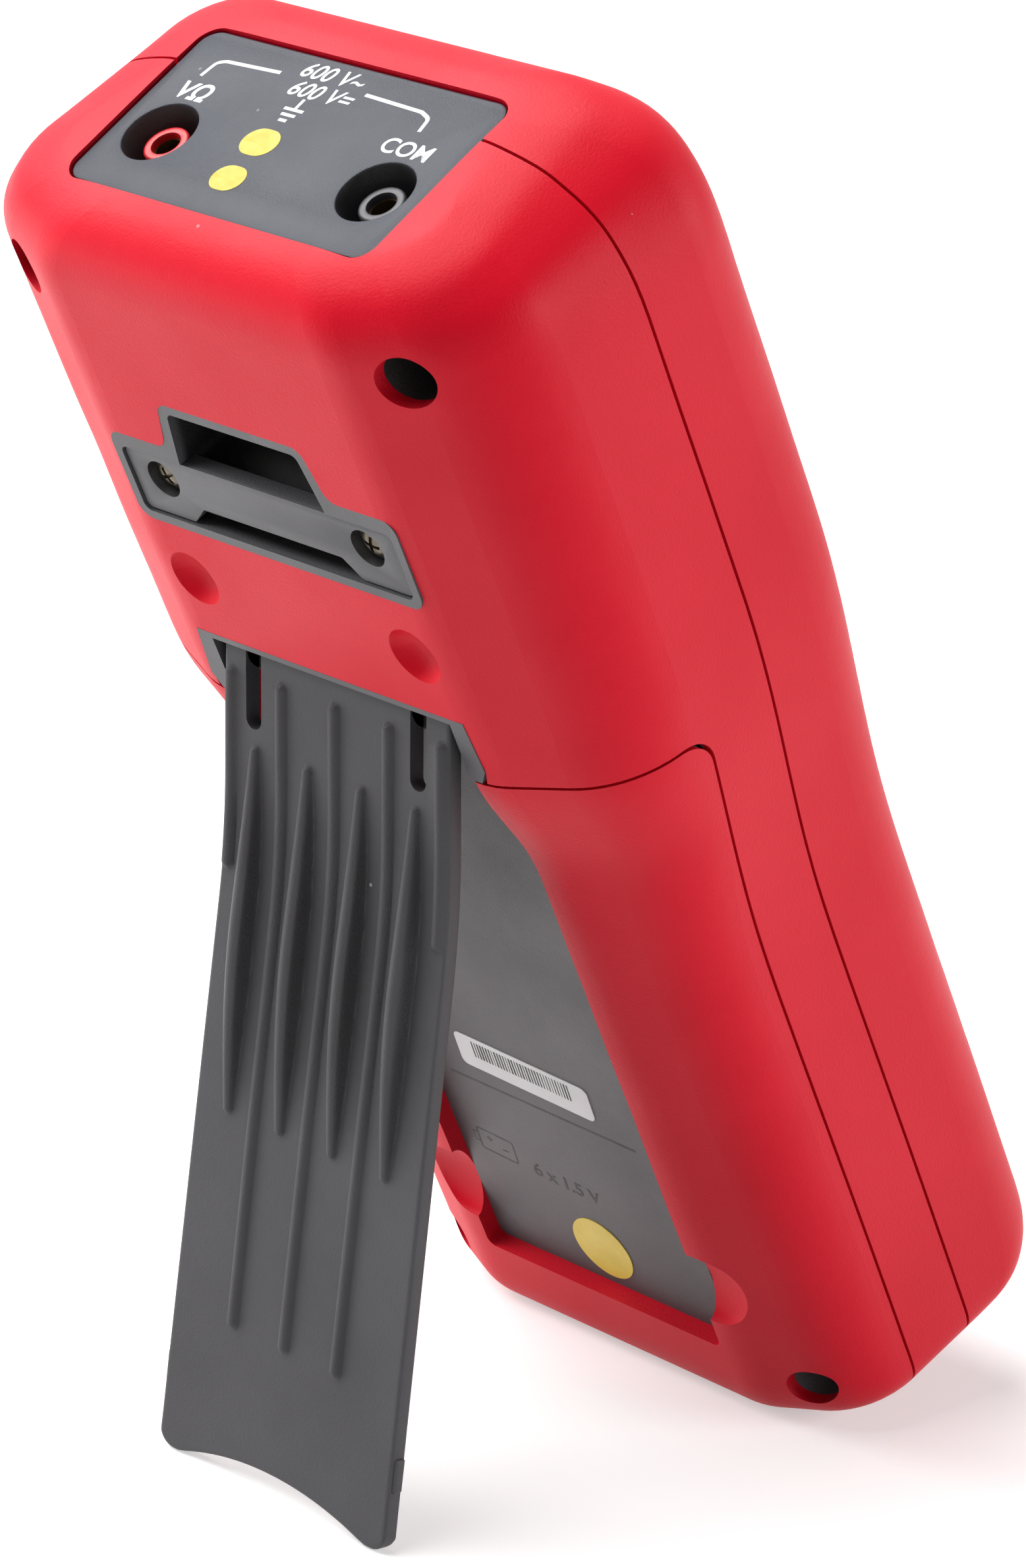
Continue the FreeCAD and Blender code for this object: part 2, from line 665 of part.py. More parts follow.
def keyHole(place, grow, z0, z1):
    x, y = place
    halfX, halfY = size("keyWide") / 2 + grow, size("keyTall") / 2 + grow
    points = [(x + halfX, y - halfY), (x + halfX, y + halfY), (x - halfX, y + halfY), (x - halfX, y - halfY)]
    return prism(points, z0, z1, 2.0 + grow)


frontCuts = list(socketCuts)
frontCuts.append(aroundWindow(0.15, faceZ - size("windowThick"), deep, 3.15))
frontCuts.append(aroundWindow(-size("windowRim"), 40.0, deep, 1.5))
frontCuts += [keyHole(place, gap, 40.0, deep) for place in keyPlaces]
frontCuts.append(post(0, size("testPlace"), 40.0, deep, size("testRadius") + gap))
frontCuts.append(post(0, size("knobPlace"), 40.0, deep, size("shaftRadius") + gap))
frontCuts += [post(x, y, boardZ - 1.0, boardZ + 4.5, shank * 0.72) for x, y in boardScrews]
frontCuts += both(lambda s: post(s * caseScrewX, caseScrewY, parting - 1.0, parting + 13.0, shank))
frontShape = combine(frontParts).cut(combine(frontCuts)).removeSplitter()

# soft front skin
faceOpening = prism(faceOutline(0.0), innerFaceZ - 2.0, deep, size("faceCorner"))
seam = size("seam")
skinOpening = panelSpace(0.35, -8.0, 12.0)
frontSkinShape = outerForm.common(everything(parting + seam / 2, deep)).cut(middleForm)
frontSkinShape = frontSkinShape.cut(faceOpening).cut(skinOpening)

# hard rear case: shell, bracket moulding, stand pocket, screw wells, battery bay
bracketCorner, mouthCorner = size("bracketCorner"), size("mouthCorner")
bracketSolid = prism(bracketOutline(0.0), 0.0, size("bracketBlock"), bracketCorner)
rim = size("rimWidth")
plateHalf = size("bracketHalf") - rim
plateSeatZ = size("plateTop") + size("plateThick")
plateLow, plateHigh = size("bracketLow") + rim, size("bracketShoulder") - rim - 1.0
plateSpace = prism(mirrored([(plateHalf, plateLow), (plateHalf, plateHigh)]), -1.0, plateSeatZ,
                   mouthCorner)
hatMouth = prism(mirrored([(size("hatHalfLow") - rim, plateHigh - 1.0),
                           (size("hatHalfHigh") - rim + 0.15, size("bracketHigh") - rim)]),
                 -1.0, size("channelDepth"), mouthCorner)
strapChannel = slab(-size("channelHalf"), size("channelHalf"), plateLow, plateHigh + 1.0,
                    plateSeatZ - 0.5, size("channelDepth"))
plateScrews = [(side * size("plateScrewHalf"), size("plateScrewPlace")) for side in (1, -1)]
bossWells = [post(x, y, plateSeatZ - 0.5, size("plateBossDepth"), size("plateBoss") + gap)
             for x, y in plateScrews]
plateBores = [post(x, y, 1.0, size("bracketBlock") - 1.5, shank - 0.4) for x, y in plateScrews]

hingeY, hingeZ = size("hingePlace"), size("hingeDepth")
barrel = size("hingeBarrel")
pocketFloor = size("pocketDepth")
pocketHalf, pocketRim = size("pocketHalf"), size("pocketRimHalf")
pocketCeiling = hingeY + barrel + 0.5
hardCoverTop = coverTop - size("coverGap") / 2
rearEdge = coverTop + size("coverGap") / 2
pocketRimSolid = prism(mirrored([(pocketRim + 0.9, rearEdge + 2.5), (pocketRim, size("pocketTop"))])
                       + [(-pocketRim + 0.6, rearEdge)] + [(pocketRim - 0.6, rearEdge)], 0.0, 3.0)
pocketBox = slab(-pocketRim - 1.0, pocketRim + 1.0, rearEdge, pocketCeiling + 2.2,
                 skin + 0.2, pocketFloor + 2.2)
pocketMouth = slab(-pocketHalf, pocketHalf, coverTop - 5, size("pocketTop") - size("pocketLip"),
                   -1.0, pocketFloor)
pocketInside = slab(-pocketHalf, pocketHalf, coverTop - 5, pocketCeiling, 1.2, pocketFloor)
pinHoleEnd = size("standHalf") + size("pinLength") + 0.3
pinHole = Part.makeCylinder(size("pinRadius") + size("pinGap"), 2 * pinHoleEnd,
                            Vector(-pinHoleEnd, hingeY, hingeZ), Vector(1, 0, 0))

caseHole, coverHole = size("caseHole"), size("coverHole")
caseWells = both(lambda s: post(s * caseScrewX, caseScrewY, 0.0, parting, caseHole + postWall)
                 .common(coreForm))
caseBores = both(lambda s: post(s * caseScrewX, caseScrewY, -2.0, size("caseHeadDepth"), caseHole))
caseBores += both(lambda s: post(s * caseScrewX, caseScrewY, 0.0, parting + 1, loose))

cellRadius, cellPitch = size("cellRadius"), size("cellPitch")
cellZ = size("recessDepth") + size("recessFloor") + 0.6 + cellRadius
bayFloorZ = cellZ + cellRadius + 0.4
bayHalf = cellPitch + cellRadius + 0.5
bayLow = size("bayLow")
contact = size("contactThick") + size("contactHigh")
bayHigh = bayLow + 2 * contact + 2 * size("cellLength")
bayWall = size("bayWall")
insertRadius, insertLong = 2.3, 6.0
bayFloor = slab(-wide, wide, -5, rearEdge + 2.0, bayFloorZ, bayFloorZ + 2.0).common(coreForm)
bayBox = slab(-bayHalf - bayWall, bayHalf + bayWall, bayLow - bayWall, bayHigh + bayWall,
              cellZ - cellRadius + 1.2, bayFloorZ + 1.0)
baySpace = slab(-bayHalf, bayHalf, bayLow, bayHigh, 0.0, bayFloorZ)
divider = slab(-wide, wide, rearEdge, rearEdge + 2.0, 0, bayFloorZ + 1.0).common(coreForm)
insertPosts = both(lambda s: post(s * caseScrewX, coverScrewY, size("coverDepth"), parting,
                                  insertRadius + postWall).common(coreForm))
insertBores = both(lambda s: post(s * caseScrewX, coverScrewY, size("coverDepth") - 1.0,
                                  size("coverDepth") + insertLong + 3.5, insertRadius))

rearSolid = middleForm.common(everything(-deep, parting)).cut(coverRegion(size("coverGap") / 2))
rearParts = [rearSolid.cut(innerForm)]
rearParts += [bracketSolid, pocketRimSolid, pocketBox, bayFloor, bayBox, divider]
rearParts += both(lambda s: post(s * size("dimpleHalf"), size("dimplePlace"), skin + 0.5,
                                 size("dimpleDeep") + size("scoopWall") + wall / 2, size("dimpleRadius") + 1.0))
rearParts += caseWells + insertPosts
rearCuts = [plateSpace, hatMouth, strapChannel, pocketMouth, pocketInside, pinHole, baySpace]
rearCuts += bossWells + plateBores + caseBores + insertBores + socketCuts
rearShape = combine(rearParts).cut(combine(rearCuts))

# soft rear skin
dimpleDeep, dimpleMouth = size("dimpleDeep"), size("dimpleRadius")
dimpleBall = (dimpleMouth ** 2 + dimpleDeep ** 2) / (2 * dimpleDeep)


def dimple(side, grow):
    centre = Vector(side * size("dimpleHalf"), size("dimplePlace"), dimpleDeep - dimpleBall)
    return Part.makeSphere(dimpleBall + grow, centre)


scoopWall = size("scoopWall")
dimplePads = both(lambda s: dimple(s, scoopWall))
rearShape = rearShape.cut(combine(dimplePads)).removeSplitter()
rearSkin = outerForm.common(everything(-deep, parting - seam / 2)).cut(coverRegion(seam / 2))
rearSkin = rearSkin.cut(middleForm.cut(combine(dimplePads)))
skinCuts = both(lambda s: dimple(s, 0.0))
skinCuts += [prism(bracketOutline(0.0), -1.0, size("bracketBlock"), bracketCorner), skinOpening]
skinCuts.append(prism(mirrored([(pocketRim + 0.9, rearEdge + 2.5), (pocketRim, size("pocketTop"))])
                      + [(-pocketRim + 0.6, coverTop - 3)] + [(pocketRim - 0.6, coverTop - 3)], -2.0, 12.0))
skinCuts += both(lambda s: post(s * caseScrewX, caseScrewY, -2.0, parting - 4, caseHole))
rearSkinShape = rearSkin.cut(combine(skinCuts))

# hard battery cover and its skin
recessHalf, recessLow, recessZ = size("recessHalf"), size("recessLow"), size("recessDepth")
lip = size("lipWidth")
recess = prism(mirrored([(recessHalf, recessLow), (recessHalf, coverTop + 4)]), -2.0, recessZ, 1.5)
lipBlock = slab(-recessHalf - lip, recessHalf + lip, recessLow - lip, coverTop + 4, -2.0, recessZ)
panelPlate = slab(-recessHalf - lip, recessHalf + lip, recessLow - lip, hardCoverTop, recessZ,
                  recessZ + size("recessFloor"))
scoopX = recessHalf + 1.0


def scoop(side, grow):
    return hollow(side * scoopX, size("scoopPlace"), size("gripBack"), size("scoopWide") + grow,
                  size("scoopTall") + grow, size("scoopDeep") + grow)


besideRecess = everything(-deep, recessZ + 0.8).cut(slab(-recessHalf, recessHalf, -tall, tall, -deep, deep))
scoopPads = both(lambda s: scoop(s, scoopWall).common(besideRecess))
coverWells = both(lambda s: post(s * caseScrewX, coverScrewY, 0.0, size("coverDepth") - 0.1,
                                 coverHole + postWall).common(coreForm))
coverBores = both(lambda s: post(s * caseScrewX, coverScrewY, -2.0, size("coverHeadDepth"), coverHole))
coverBores += both(lambda s: post(s * caseScrewX, coverScrewY, 0.0, size("coverDepth") + 1, loose))
cover = middleForm.common(coverRegion(-size("coverGap") / 2)).cut(innerForm)
cover = combine([cover, panelPlate.common(coreForm)] + coverWells)
coverShape = cover.cut(combine([lipBlock] + scoopPads + coverBores)).removeSplitter()
coverSkin = outerForm.common(coverRegion(-seam / 2)).cut(middleForm.cut(combine([lipBlock] + scoopPads)))
coverSkinShape = coverSkin.cut(combine([recess] + both(lambda s: scoop(s, 0.0)) + coverBores))

shells = [
    ("front_case", frontShape),
    ("front_overmould", frontSkinShape),
    ("rear_case", rearShape),
    ("rear_overmould", rearSkinShape),
    ("battery_cover", coverShape),
    ("battery_cover_overmould", coverSkinShape),
]
for label, shape in shells:
    item = doc.addObject("Part::Feature", label)
    item.Shape = shape
    keep(label, item)

# --- tilt stand, drawn folded and then swung open about its hinge ---

standHalf, footHalf, standThick = size("standHalf"), size("footHalf"), size("standThick")
standTip = hingeY - size("standLength")
standFaceZ = size("gripBack")
standUpperZ = hingeZ - barrel
bendY = hingeY - size("standBend")
cornerRound = 3.0


def alongX(points, x0, x1):
    """Side profile in (y, z), drawn out from x0 to x1."""
    ring = [Vector(x0, y, z) for y, z in points]
    return Part.Face(Part.makePolygon(ring + ring[:1])).extrude(Vector(x1 - x0, 0, 0))


leafSide = [(hingeY, standUpperZ), (bendY, standFaceZ), (standTip, standFaceZ),
            (standTip, standFaceZ + standThick), (bendY, standFaceZ + standThick),
            (hingeY, standUpperZ + standThick)]
leafPlan = prism(mirrored([(footHalf, standTip), (standHalf, hingeY)]), -deep, deep)
leaf = alongX(leafSide, -footHalf - 1, footHalf + 1).common(leafPlan)
corners = [e for e in uprights(leaf) if e.BoundBox.YMax < standTip + 1.0]
leaf = leaf.makeFillet(cornerRound, corners)
archHalf = footHalf - 4.5
archRadius = (archHalf ** 2 + size("footArch") ** 2) / (2 * size("footArch"))
arch = post(0, standTip + size("footArch") - archRadius, -5.0, 15.0, archRadius)
hingeRod = Part.makeCylinder(barrel, 2 * standHalf, Vector(-standHalf, hingeY, hingeZ), Vector(1, 0, 0))
pinReach = standHalf + size("pinLength")
pins = Part.makeCylinder(size("pinRadius"), 2 * pinReach, Vector(-pinReach, hingeY, hingeZ), Vector(1, 0, 0))
ribWide, ribHigh, ribPitch = size("ribWide"), size("ribHigh"), size("ribPitch")


def faceDepth(y):
    share = min(max((hingeY - y) / size("standBend"), 0.0), 1.0)
    return standUpperZ + (standFaceZ - standUpperZ) * share


def rib(x, start, end):
    """Rib on the outer face, running over the bend; it sinks half its height into the face."""
    y0, y1 = hingeY - start, max(hingeY - end, standTip)
    ys = [y0, bendY, y1] if y0 > bendY > y1 else [y0, y1]
    outer = [(y, faceDepth(y) - ribHigh) for y in ys]
    inner = [(y, faceDepth(y) + ribHigh / 2) for y in reversed(ys)]
    return alongX(outer + inner, x - ribWide / 2, x + ribWide / 2)


def fin(x):
    """Lens-shaped fin on the outer face."""
    y0, y1 = hingeY - size("finStart"), hingeY - size("finEnd")
    middle = (y0 + y1) / 2
    top = Vector(x - ribWide / 2, middle, faceDepth(middle) - size("finHigh"))
    a = Vector(x - ribWide / 2, y0, faceDepth(y0) + 0.4)
    b = Vector(x - ribWide / 2, y1, faceDepth(y1) + 0.4)
    low = Vector(x - ribWide / 2, middle, faceDepth(middle) + 1.2)
    ring = Part.Wire([Part.Arc(a, top, b).toShape(), Part.LineSegment(b, low).toShape(),
                      Part.LineSegment(low, a).toShape()])
    return Part.Face(ring).extrude(Vector(ribWide, 0, 0))


ribs = [rib(x, size("ribStart"), size("ribEnd")) for x in (-ribPitch, 0.0, ribPitch)]
sideRibX = standHalf - ribWide / 2
ribs += both(lambda s: rib(s * sideRibX, size("ribStart"), size("sideRibEnd")))
fins = [fin(share * ribPitch) for share in (-1.5, -0.5, 0.5, 1.5)]
clickY = hingeY - size("clickPlace")
clickX = footHalf - (footHalf - standHalf) * (clickY - standTip) / size("standLength")
clickHalf = size("clickLength") / 2
clicks = both(lambda s: prism([(s * (clickX - 1), clickY - clickHalf - 1),
                               (s * (clickX + size("clickHigh")), clickY - clickHalf + 0.8),
                               (s * (clickX + size("clickHigh")), clickY + clickHalf - 0.8),
                               (s * (clickX - 1), clickY + clickHalf + 1)],
                              standFaceZ + 0.5, standFaceZ + standThick - 0.3))
slotEnd = hingeY - size("slotReach")
slots = both(lambda s: prism([(s * size("slotInner"), slotEnd),
                              (s * (size("slotInner") + size("slotWide")), slotEnd),
                              (s * (size("slotInner") + size("slotWide")), hingeY + barrel + 1),
                              (s * size("slotInner"), hingeY + barrel + 1)], -6.0, 14.0))
standSolid = combine([leaf.cut(arch), hingeRod, pins] + ribs + fins + clicks).cut(combine(slots))
opening = FreeCAD.Rotation(Vector(1, 0, 0), size("standAngle"))
hingePoint = Vector(0, hingeY, hingeZ)
swungOpen = FreeCAD.Placement(hingePoint - opening.multVec(hingePoint), opening)
stand = doc.addObject("Part::Feature", "tilt_stand")
stand.Shape = standSolid
keep("tilt_stand", stand, swungOpen)

# --- socket end: these pieces are drawn in the frame of the end face ---

panelFrame = plateBody("panel_frame", "0", "0", "2 * Sizes.panelHalf", "2 * Sizes.panelHalfLong",
                       "Sizes.panelSink", "Sizes.panelSink + Sizes.panelThick", "Sizes.panelCorner")
cups, mouths = [], []
for side in (1, -1):
    x = "%d * Sizes.socketHalf" % side
    cups.append(rod("cup", "Sizes.shroudRadius + Sizes.shroudWall",
                    "Sizes.shroudDepth + Sizes.shroudWall - Sizes.panelSink - Sizes.panelThick / 2",
                    (x, "Sizes.socketAlong", "Sizes.panelSink + Sizes.panelThick / 2")))
    mouths.append(rod("mouth", "Sizes.shroudRadius", "Sizes.shroudDepth + 5", (x, "Sizes.socketAlong", "-5")))
    mouths.append(rod("foot_hole", "Sizes.barrelRadius + 0.05", "Sizes.shroudDepth + 9",
                      (x, "Sizes.socketAlong", "-5")))
keep("jack_panel", carve("jack_panel", join("panel_cups", [panelFrame] + cups), mouths), panelPlace)
for side, sleeveName, barrelName in ((1, "socket_sleeve_red", "socket_barrel_red"),
                                     (-1, "socket_sleeve_black", "socket_barrel_black")):
    x = "%d * Sizes.socketHalf" % side
    sleeve = turned(sleeveName, [("Sizes.barrelRadius + 0.05", "Sizes.shroudDepth"),
                                 ("Sizes.sleeveRadius", "Sizes.shroudDepth"),
                                 ("Sizes.sleeveRadius", "Sizes.sleeveTip"),
                                 ("Sizes.barrelRadius + 0.05", "Sizes.sleeveTip")], x, "Sizes.socketAlong")
    keep(sleeveName, sleeve, panelPlace)
    barrelBody = turned(barrelName, [("0", "Sizes.barrelEnd - Sizes.barrelFloor"),
                                     ("0", "Sizes.barrelEnd"),
                                     ("Sizes.barrelRadius", "Sizes.barrelEnd"),
                                     ("Sizes.barrelRadius", "Sizes.barrelTip"),
                                     ("Sizes.barrelBore", "Sizes.barrelTip"),
                                     ("Sizes.barrelBore", "Sizes.barrelEnd - Sizes.barrelFloor")],
                        x, "Sizes.socketAlong")
    keep(barrelName, barrelBody, panelPlace)
strapLong = "(Sizes.boardBack - 0.2 - Sizes.socketPlace - Sizes.barrelEnd * Sizes.topSlope + 2.5)"
straps = [block("strap", ("4", strapLong, "0.6"),
                ("%d * Sizes.socketHalf - 2" % side, "Sizes.socketAlong - 2.5", "Sizes.barrelEnd"))
          for side in (1, -1)]
keep("socket_straps", group("socket_straps", straps), panelPlace)

# --- bracket plate and its screws ---

plateBase = newBody("plate_base")
plateSketch = newSketch(plateBase, "XY_Plane", "Sizes.plateTop")
plateEdge = "(Sizes.bracketHalf - Sizes.rimWidth - Sizes.plateGap)"
plateFoot = "(Sizes.bracketLow + Sizes.rimWidth + Sizes.plateGap)"
plateRoof = "(Sizes.bracketShoulder - Sizes.rimWidth - 1 - Sizes.plateGap)"
notchTop = "(%s + Sizes.plateNotch)" % plateFoot
polygon(plateSketch, [(plateEdge, plateFoot), (plateEdge, plateRoof), ("-" + plateEdge, plateRoof),
                      ("-" + plateEdge, plateFoot), ("-Sizes.channelHalf - 3", plateFoot),
                      ("-Sizes.channelHalf", notchTop), ("Sizes.channelHalf", notchTop),
                      ("Sizes.channelHalf + 3", plateFoot)])
roundCorners(plateBase, pad(plateBase, plateSketch, "Sizes.plateThick"), "Sizes.mouthCorner - Sizes.plateGap")
plateFeet, plateHoles = [], []
for side in (1, -1):
    x = "%d * Sizes.plateScrewHalf" % side
    plateFeet.append(rod("boss", "Sizes.plateBoss", "Sizes.plateBossDepth - Sizes.plateTop - 1",
                         (x, "Sizes.plateScrewPlace", "Sizes.plateTop + 1")))
    plateHoles.append(rod("counterbore", "Sizes.plateScrewHead", "Sizes.plateTop + 1.8",
                          (x, "Sizes.plateScrewPlace", "0")))
    plateHoles.append(rod("hole", "Sizes.screwShank - 0.1", "12", (x, "Sizes.plateScrewPlace", "0")))
keep("bracket_plate", carve("bracket_plate", join("plate_bosses", [plateBase] + plateFeet), plateHoles))


def screws(node, places, seat, headRadius, headHigh, shankRadius, end):
    """Pan-head screws seen from the back: head, shank and a cross slot, one solid each."""
    made = []
    for x, y in places:
        headFoot = "(%s) - (%s)" % (seat, headHigh)
        head = rod("head", headRadius, headHigh, (x, y, headFoot))
        stem = rod("stem", shankRadius, "abs((%s) - (%s))" % (end, seat), (x, y, seat))
        slotFoot = "%s - 1" % headFoot
        crossX = block("cross", ("(%s) * 1.3" % headRadius, "0.6", "2"),
                       ("%s - (%s) * 0.65" % (x, headRadius), "%s - 0.3" % y, slotFoot))
        crossY = block("cross", ("0.6", "(%s) * 1.3" % headRadius, "2"),
                       ("%s - 0.3" % x, "%s - (%s) * 0.65" % (y, headRadius), slotFoot))
        made.append(carve(node + "_one", join("screw", [head, stem]), [crossX, crossY]))
    keep(node, group(node, made))


def pairOf(x, y):
    return [("%d * %s" % (side, x), y) for side in (1, -1)]


screws("bracket_screws", pairOf("Sizes.plateScrewHalf", "Sizes.plateScrewPlace"),
       "Sizes.plateTop + 1.8", "2.6", "1.5", "Sizes.screwShank - 0.42", "Sizes.bracketBlock - 2.5")
screws("case_screws", pairOf("Sizes.caseScrewHalf", "Sizes.caseScrewPlace"), "Sizes.caseHeadDepth",
       "Sizes.screwHead", "Sizes.screwHeadHigh", "Sizes.screwShank - 0.02", "Sizes.partingDepth + 12")
screws("cover_screws", pairOf("Sizes.caseScrewHalf", "Sizes.coverScrewPlace"), "Sizes.coverHeadDepth",
       "Sizes.screwHead", "Sizes.screwHeadHigh", "Sizes.screwShank - 0.02", "Sizes.coverDepth + 5.5")
screws("board_screws", pairOf("(Sizes.boardHeadHalf - 5)", "Sizes.lowerKeys + 2.5")
       + pairOf("(Sizes.boardGripHalf - 5.5)", "Sizes.testPlace + 14"), "Sizes.boardBack",
       "2.6", "1.6", "Sizes.screwShank * 0.7", "Sizes.boardDepth + 4")
inserts = [carve("insert", rod("bush", "2.3", "6", (x, y, "Sizes.coverDepth + 0.1")),
                 [rod("bush_bore", "Sizes.screwShank", "8", (x, y, "Sizes.coverDepth - 1"))])
           for x, y in pairOf("Sizes.caseScrewHalf", "Sizes.coverScrewPlace")]
keep("threaded_inserts", group("threaded_inserts", inserts))

# --- front: window, display, keys, selector ---

keep("lcd_window", plateBody("lcd_window", "0", "Sizes.windowPlace", "Sizes.windowWide", "Sizes.windowTall",
                             "Sizes.faceLevel - Sizes.windowThick", "Sizes.faceLevel", "3"))
panelWide, panelTall = "(Sizes.windowWide - 2)", "(Sizes.windowTall - 2)"


def centred(name, wideFormula, tallFormula, low, high):
    """Block about the window's centre."""
    return block(name, (wideFormula, tallFormula, "(%s) - (%s)" % (high, low)),
                 ("-(%s) / 2" % wideFormula, "Sizes.windowPlace - (%s) / 2" % tallFormula, low))


keep("lcd_panel", plateBody("lcd_panel", "0", "Sizes.windowPlace", panelWide, panelTall,
                            "Sizes.boardDepth + 1", "Sizes.boardDepth + 1 + Sizes.displayThick", "0.5"))
frameOuter = centred("frame_outer", panelWide + " + 4", panelTall + " + 4", "Sizes.boardDepth",
                     "Sizes.faceUnder - 0.1")
frameSeat = centred("frame_seat", panelWide + " + 0.4", panelTall + " + 0.4", "Sizes.boardDepth + 1",
                    "Sizes.faceUnder + 2")
frameOpening = centred("frame_opening", panelWide + " - 8", panelTall + " - 8", "Sizes.boardDepth - 1",
                       "Sizes.faceUnder + 2")
keep("lcd_frame", carve("lcd_frame", frameOuter, [frameSeat, frameOpening]))
strips = [block("strip", (panelWide + " - 12", "2.5", "1"),
                ("-(%s - 12) / 2" % panelWide, "Sizes.windowPlace + (%d) - 1.25" % shift, "Sizes.boardDepth"))
          for shift in (-18, 18)]
keep("lcd_connectors", group("lcd_connectors", strips))

matUpper = block("mat_upper", ("4 * Sizes.keyPitch - 1", "Sizes.keyTall + 4", "Sizes.matThick"),
                 ("-2 * Sizes.keyPitch + 0.5", "Sizes.upperKeys - Sizes.keyTall / 2 - 2", "Sizes.boardDepth"))
matLower = block("mat_lower", ("3 * Sizes.keyPitch", "Sizes.upperKeys - Sizes.lowerKeys + 2", "Sizes.matThick"),
                 ("-1.5 * Sizes.keyPitch", "Sizes.lowerKeys - Sizes.keyTall / 2 - 1.5", "Sizes.boardDepth"))
keep("keypad_mat", join("keypad_mat", [matUpper, matLower]))


def keyBody(name, x, y):
    """Key cap standing out of the face, with the flange that holds it in."""
    body = newBody(name)
    cap = newSketch(body, "XY_Plane", "Sizes.flangeTop - 0.5")
    rectangle(cap, x, y, "Sizes.keyWide", "Sizes.keyTall")
    roundCorners(body, pad(body, cap, "Sizes.keyTop - Sizes.flangeTop + 0.5"), "2")
    flange = newSketch(body, "XY_Plane", "Sizes.flangeTop - Sizes.keyFlange - 0.1")
    rectangle(flange, x, y, "Sizes.keyWide + 2", "Sizes.keyTall + 2")
    pad(body, flange, "Sizes.keyFlange + 0.1")
    return body


keyFormulas = [("%s * Sizes.keyPitch" % share, "Sizes.upperKeys") for share in keyXs]
keyFormulas += [("%d * Sizes.keyPitch" % share, "Sizes.lowerKeys") for share in (-1, 1)]
for number, (x, y) in enumerate(keyFormulas, start=1):
    keep("key_%d" % number, keyBody("key_%d" % number, x, y))
flangeFoot = "Sizes.flangeTop - Sizes.keyFlange - 0.1"
testProfile = [("0", flangeFoot), ("Sizes.testRadius + 1.5", flangeFoot),
               ("Sizes.testRadius + 1.5", "Sizes.flangeTop"), ("Sizes.testRadius", "Sizes.flangeTop"),
               ("Sizes.testRadius", "Sizes.keyTop - 0.6"), ("Sizes.testRadius - 0.8", "Sizes.keyTop"),
               ("0", "Sizes.keyTop")]
keep("test_button", turned("test_button", testProfile, "0", "Sizes.testPlace"))

knobFoot = "Sizes.faceLevel + 0.3"
knobDeck = "Sizes.faceLevel + Sizes.knobHigh / 2"
grooveFoot, grooveTop = "Sizes.faceUnder - 1", "Sizes.faceUnder - 0.1"
knobProfile = [("0", "Sizes.boardBack - 0.6"), ("Sizes.shaftRadius", "Sizes.boardBack - 0.6"),
               ("Sizes.shaftRadius", grooveFoot), ("Sizes.shaftRadius - 0.4", grooveFoot),
               ("Sizes.shaftRadius - 0.4", grooveTop), ("Sizes.shaftRadius", grooveTop),
               ("Sizes.shaftRadius", knobFoot), ("Sizes.knobRadius", knobFoot),
               ("Sizes.knobRadius", knobDeck + " - 0.8"), ("Sizes.knobRadius - 0.8", knobDeck),
               ("0", knobDeck)]
gripLong = "(2 * Sizes.knobRadius - 3)"
gripBar = block("grip_bar", ("Sizes.knobGrip", gripLong, "Sizes.knobHigh / 2 + 0.5"),
                ("-Sizes.knobGrip / 2", "Sizes.knobPlace - %s / 2" % gripLong, knobDeck + " - 0.5"))
knobTurned = turned("knob_turned", knobProfile, "0", "Sizes.knobPlace")
keep("selector_knob", join("selector_knob", [knobTurned, gripBar]))
rotorBase = rod("rotor_base", "Sizes.rotorRadius", "Sizes.rotorThick",
                ("0", "Sizes.knobPlace", "Sizes.boardDepth + 1"))
rotorBore = rod("rotor_bore", "Sizes.shaftRadius + 0.05", "8", ("0", "Sizes.knobPlace", "Sizes.boardDepth"))
keep("rotor_disc", carve("rotor_disc", rotorBase, [rotorBore]))
wipers = [block("wiper", ("8", "2", "0.7"), ("6", "Sizes.knobPlace - 1", "Sizes.boardDepth + 0.3")),
          block("wiper", ("8", "2", "0.7"), ("-14", "Sizes.knobPlace - 1", "Sizes.boardDepth + 0.3")),
          block("wiper", ("2", "8", "0.7"), ("-1", "Sizes.knobPlace + 6", "Sizes.boardDepth + 0.3"))]
keep("wiper_contacts", group("wiper_contacts", wipers))
clipBase = rod("clip_base", "Sizes.shaftRadius + 1.8", "0.8", ("0", "Sizes.knobPlace", grooveFoot + " + 0.05"))
clipBore = rod("clip_bore", "Sizes.shaftRadius - 0.35", "4", ("0", "Sizes.knobPlace", grooveFoot + " - 1"))
clipMouth = block("clip_mouth", ("5", "10", "4"), ("-2.5", "Sizes.knobPlace", grooveFoot + " - 1"))
keep("knob_clip", carve("knob_clip", clipBase, [clipBore, clipMouth]))
springFoot = block("spring_foot", ("3.4", "6", "0.5"),
                   ("Sizes.rotorRadius + 0.4", "Sizes.knobPlace - 3", "Sizes.boardDepth"))
springBlade = block("spring_blade", ("0.5", "16", "2.6"),
                    ("Sizes.rotorRadius + 0.4", "Sizes.knobPlace - 8", "Sizes.boardDepth"))
keep("detent_spring", join("detent_spring", [springFoot, springBlade]))

# --- circuit board and what stands on its rear side ---

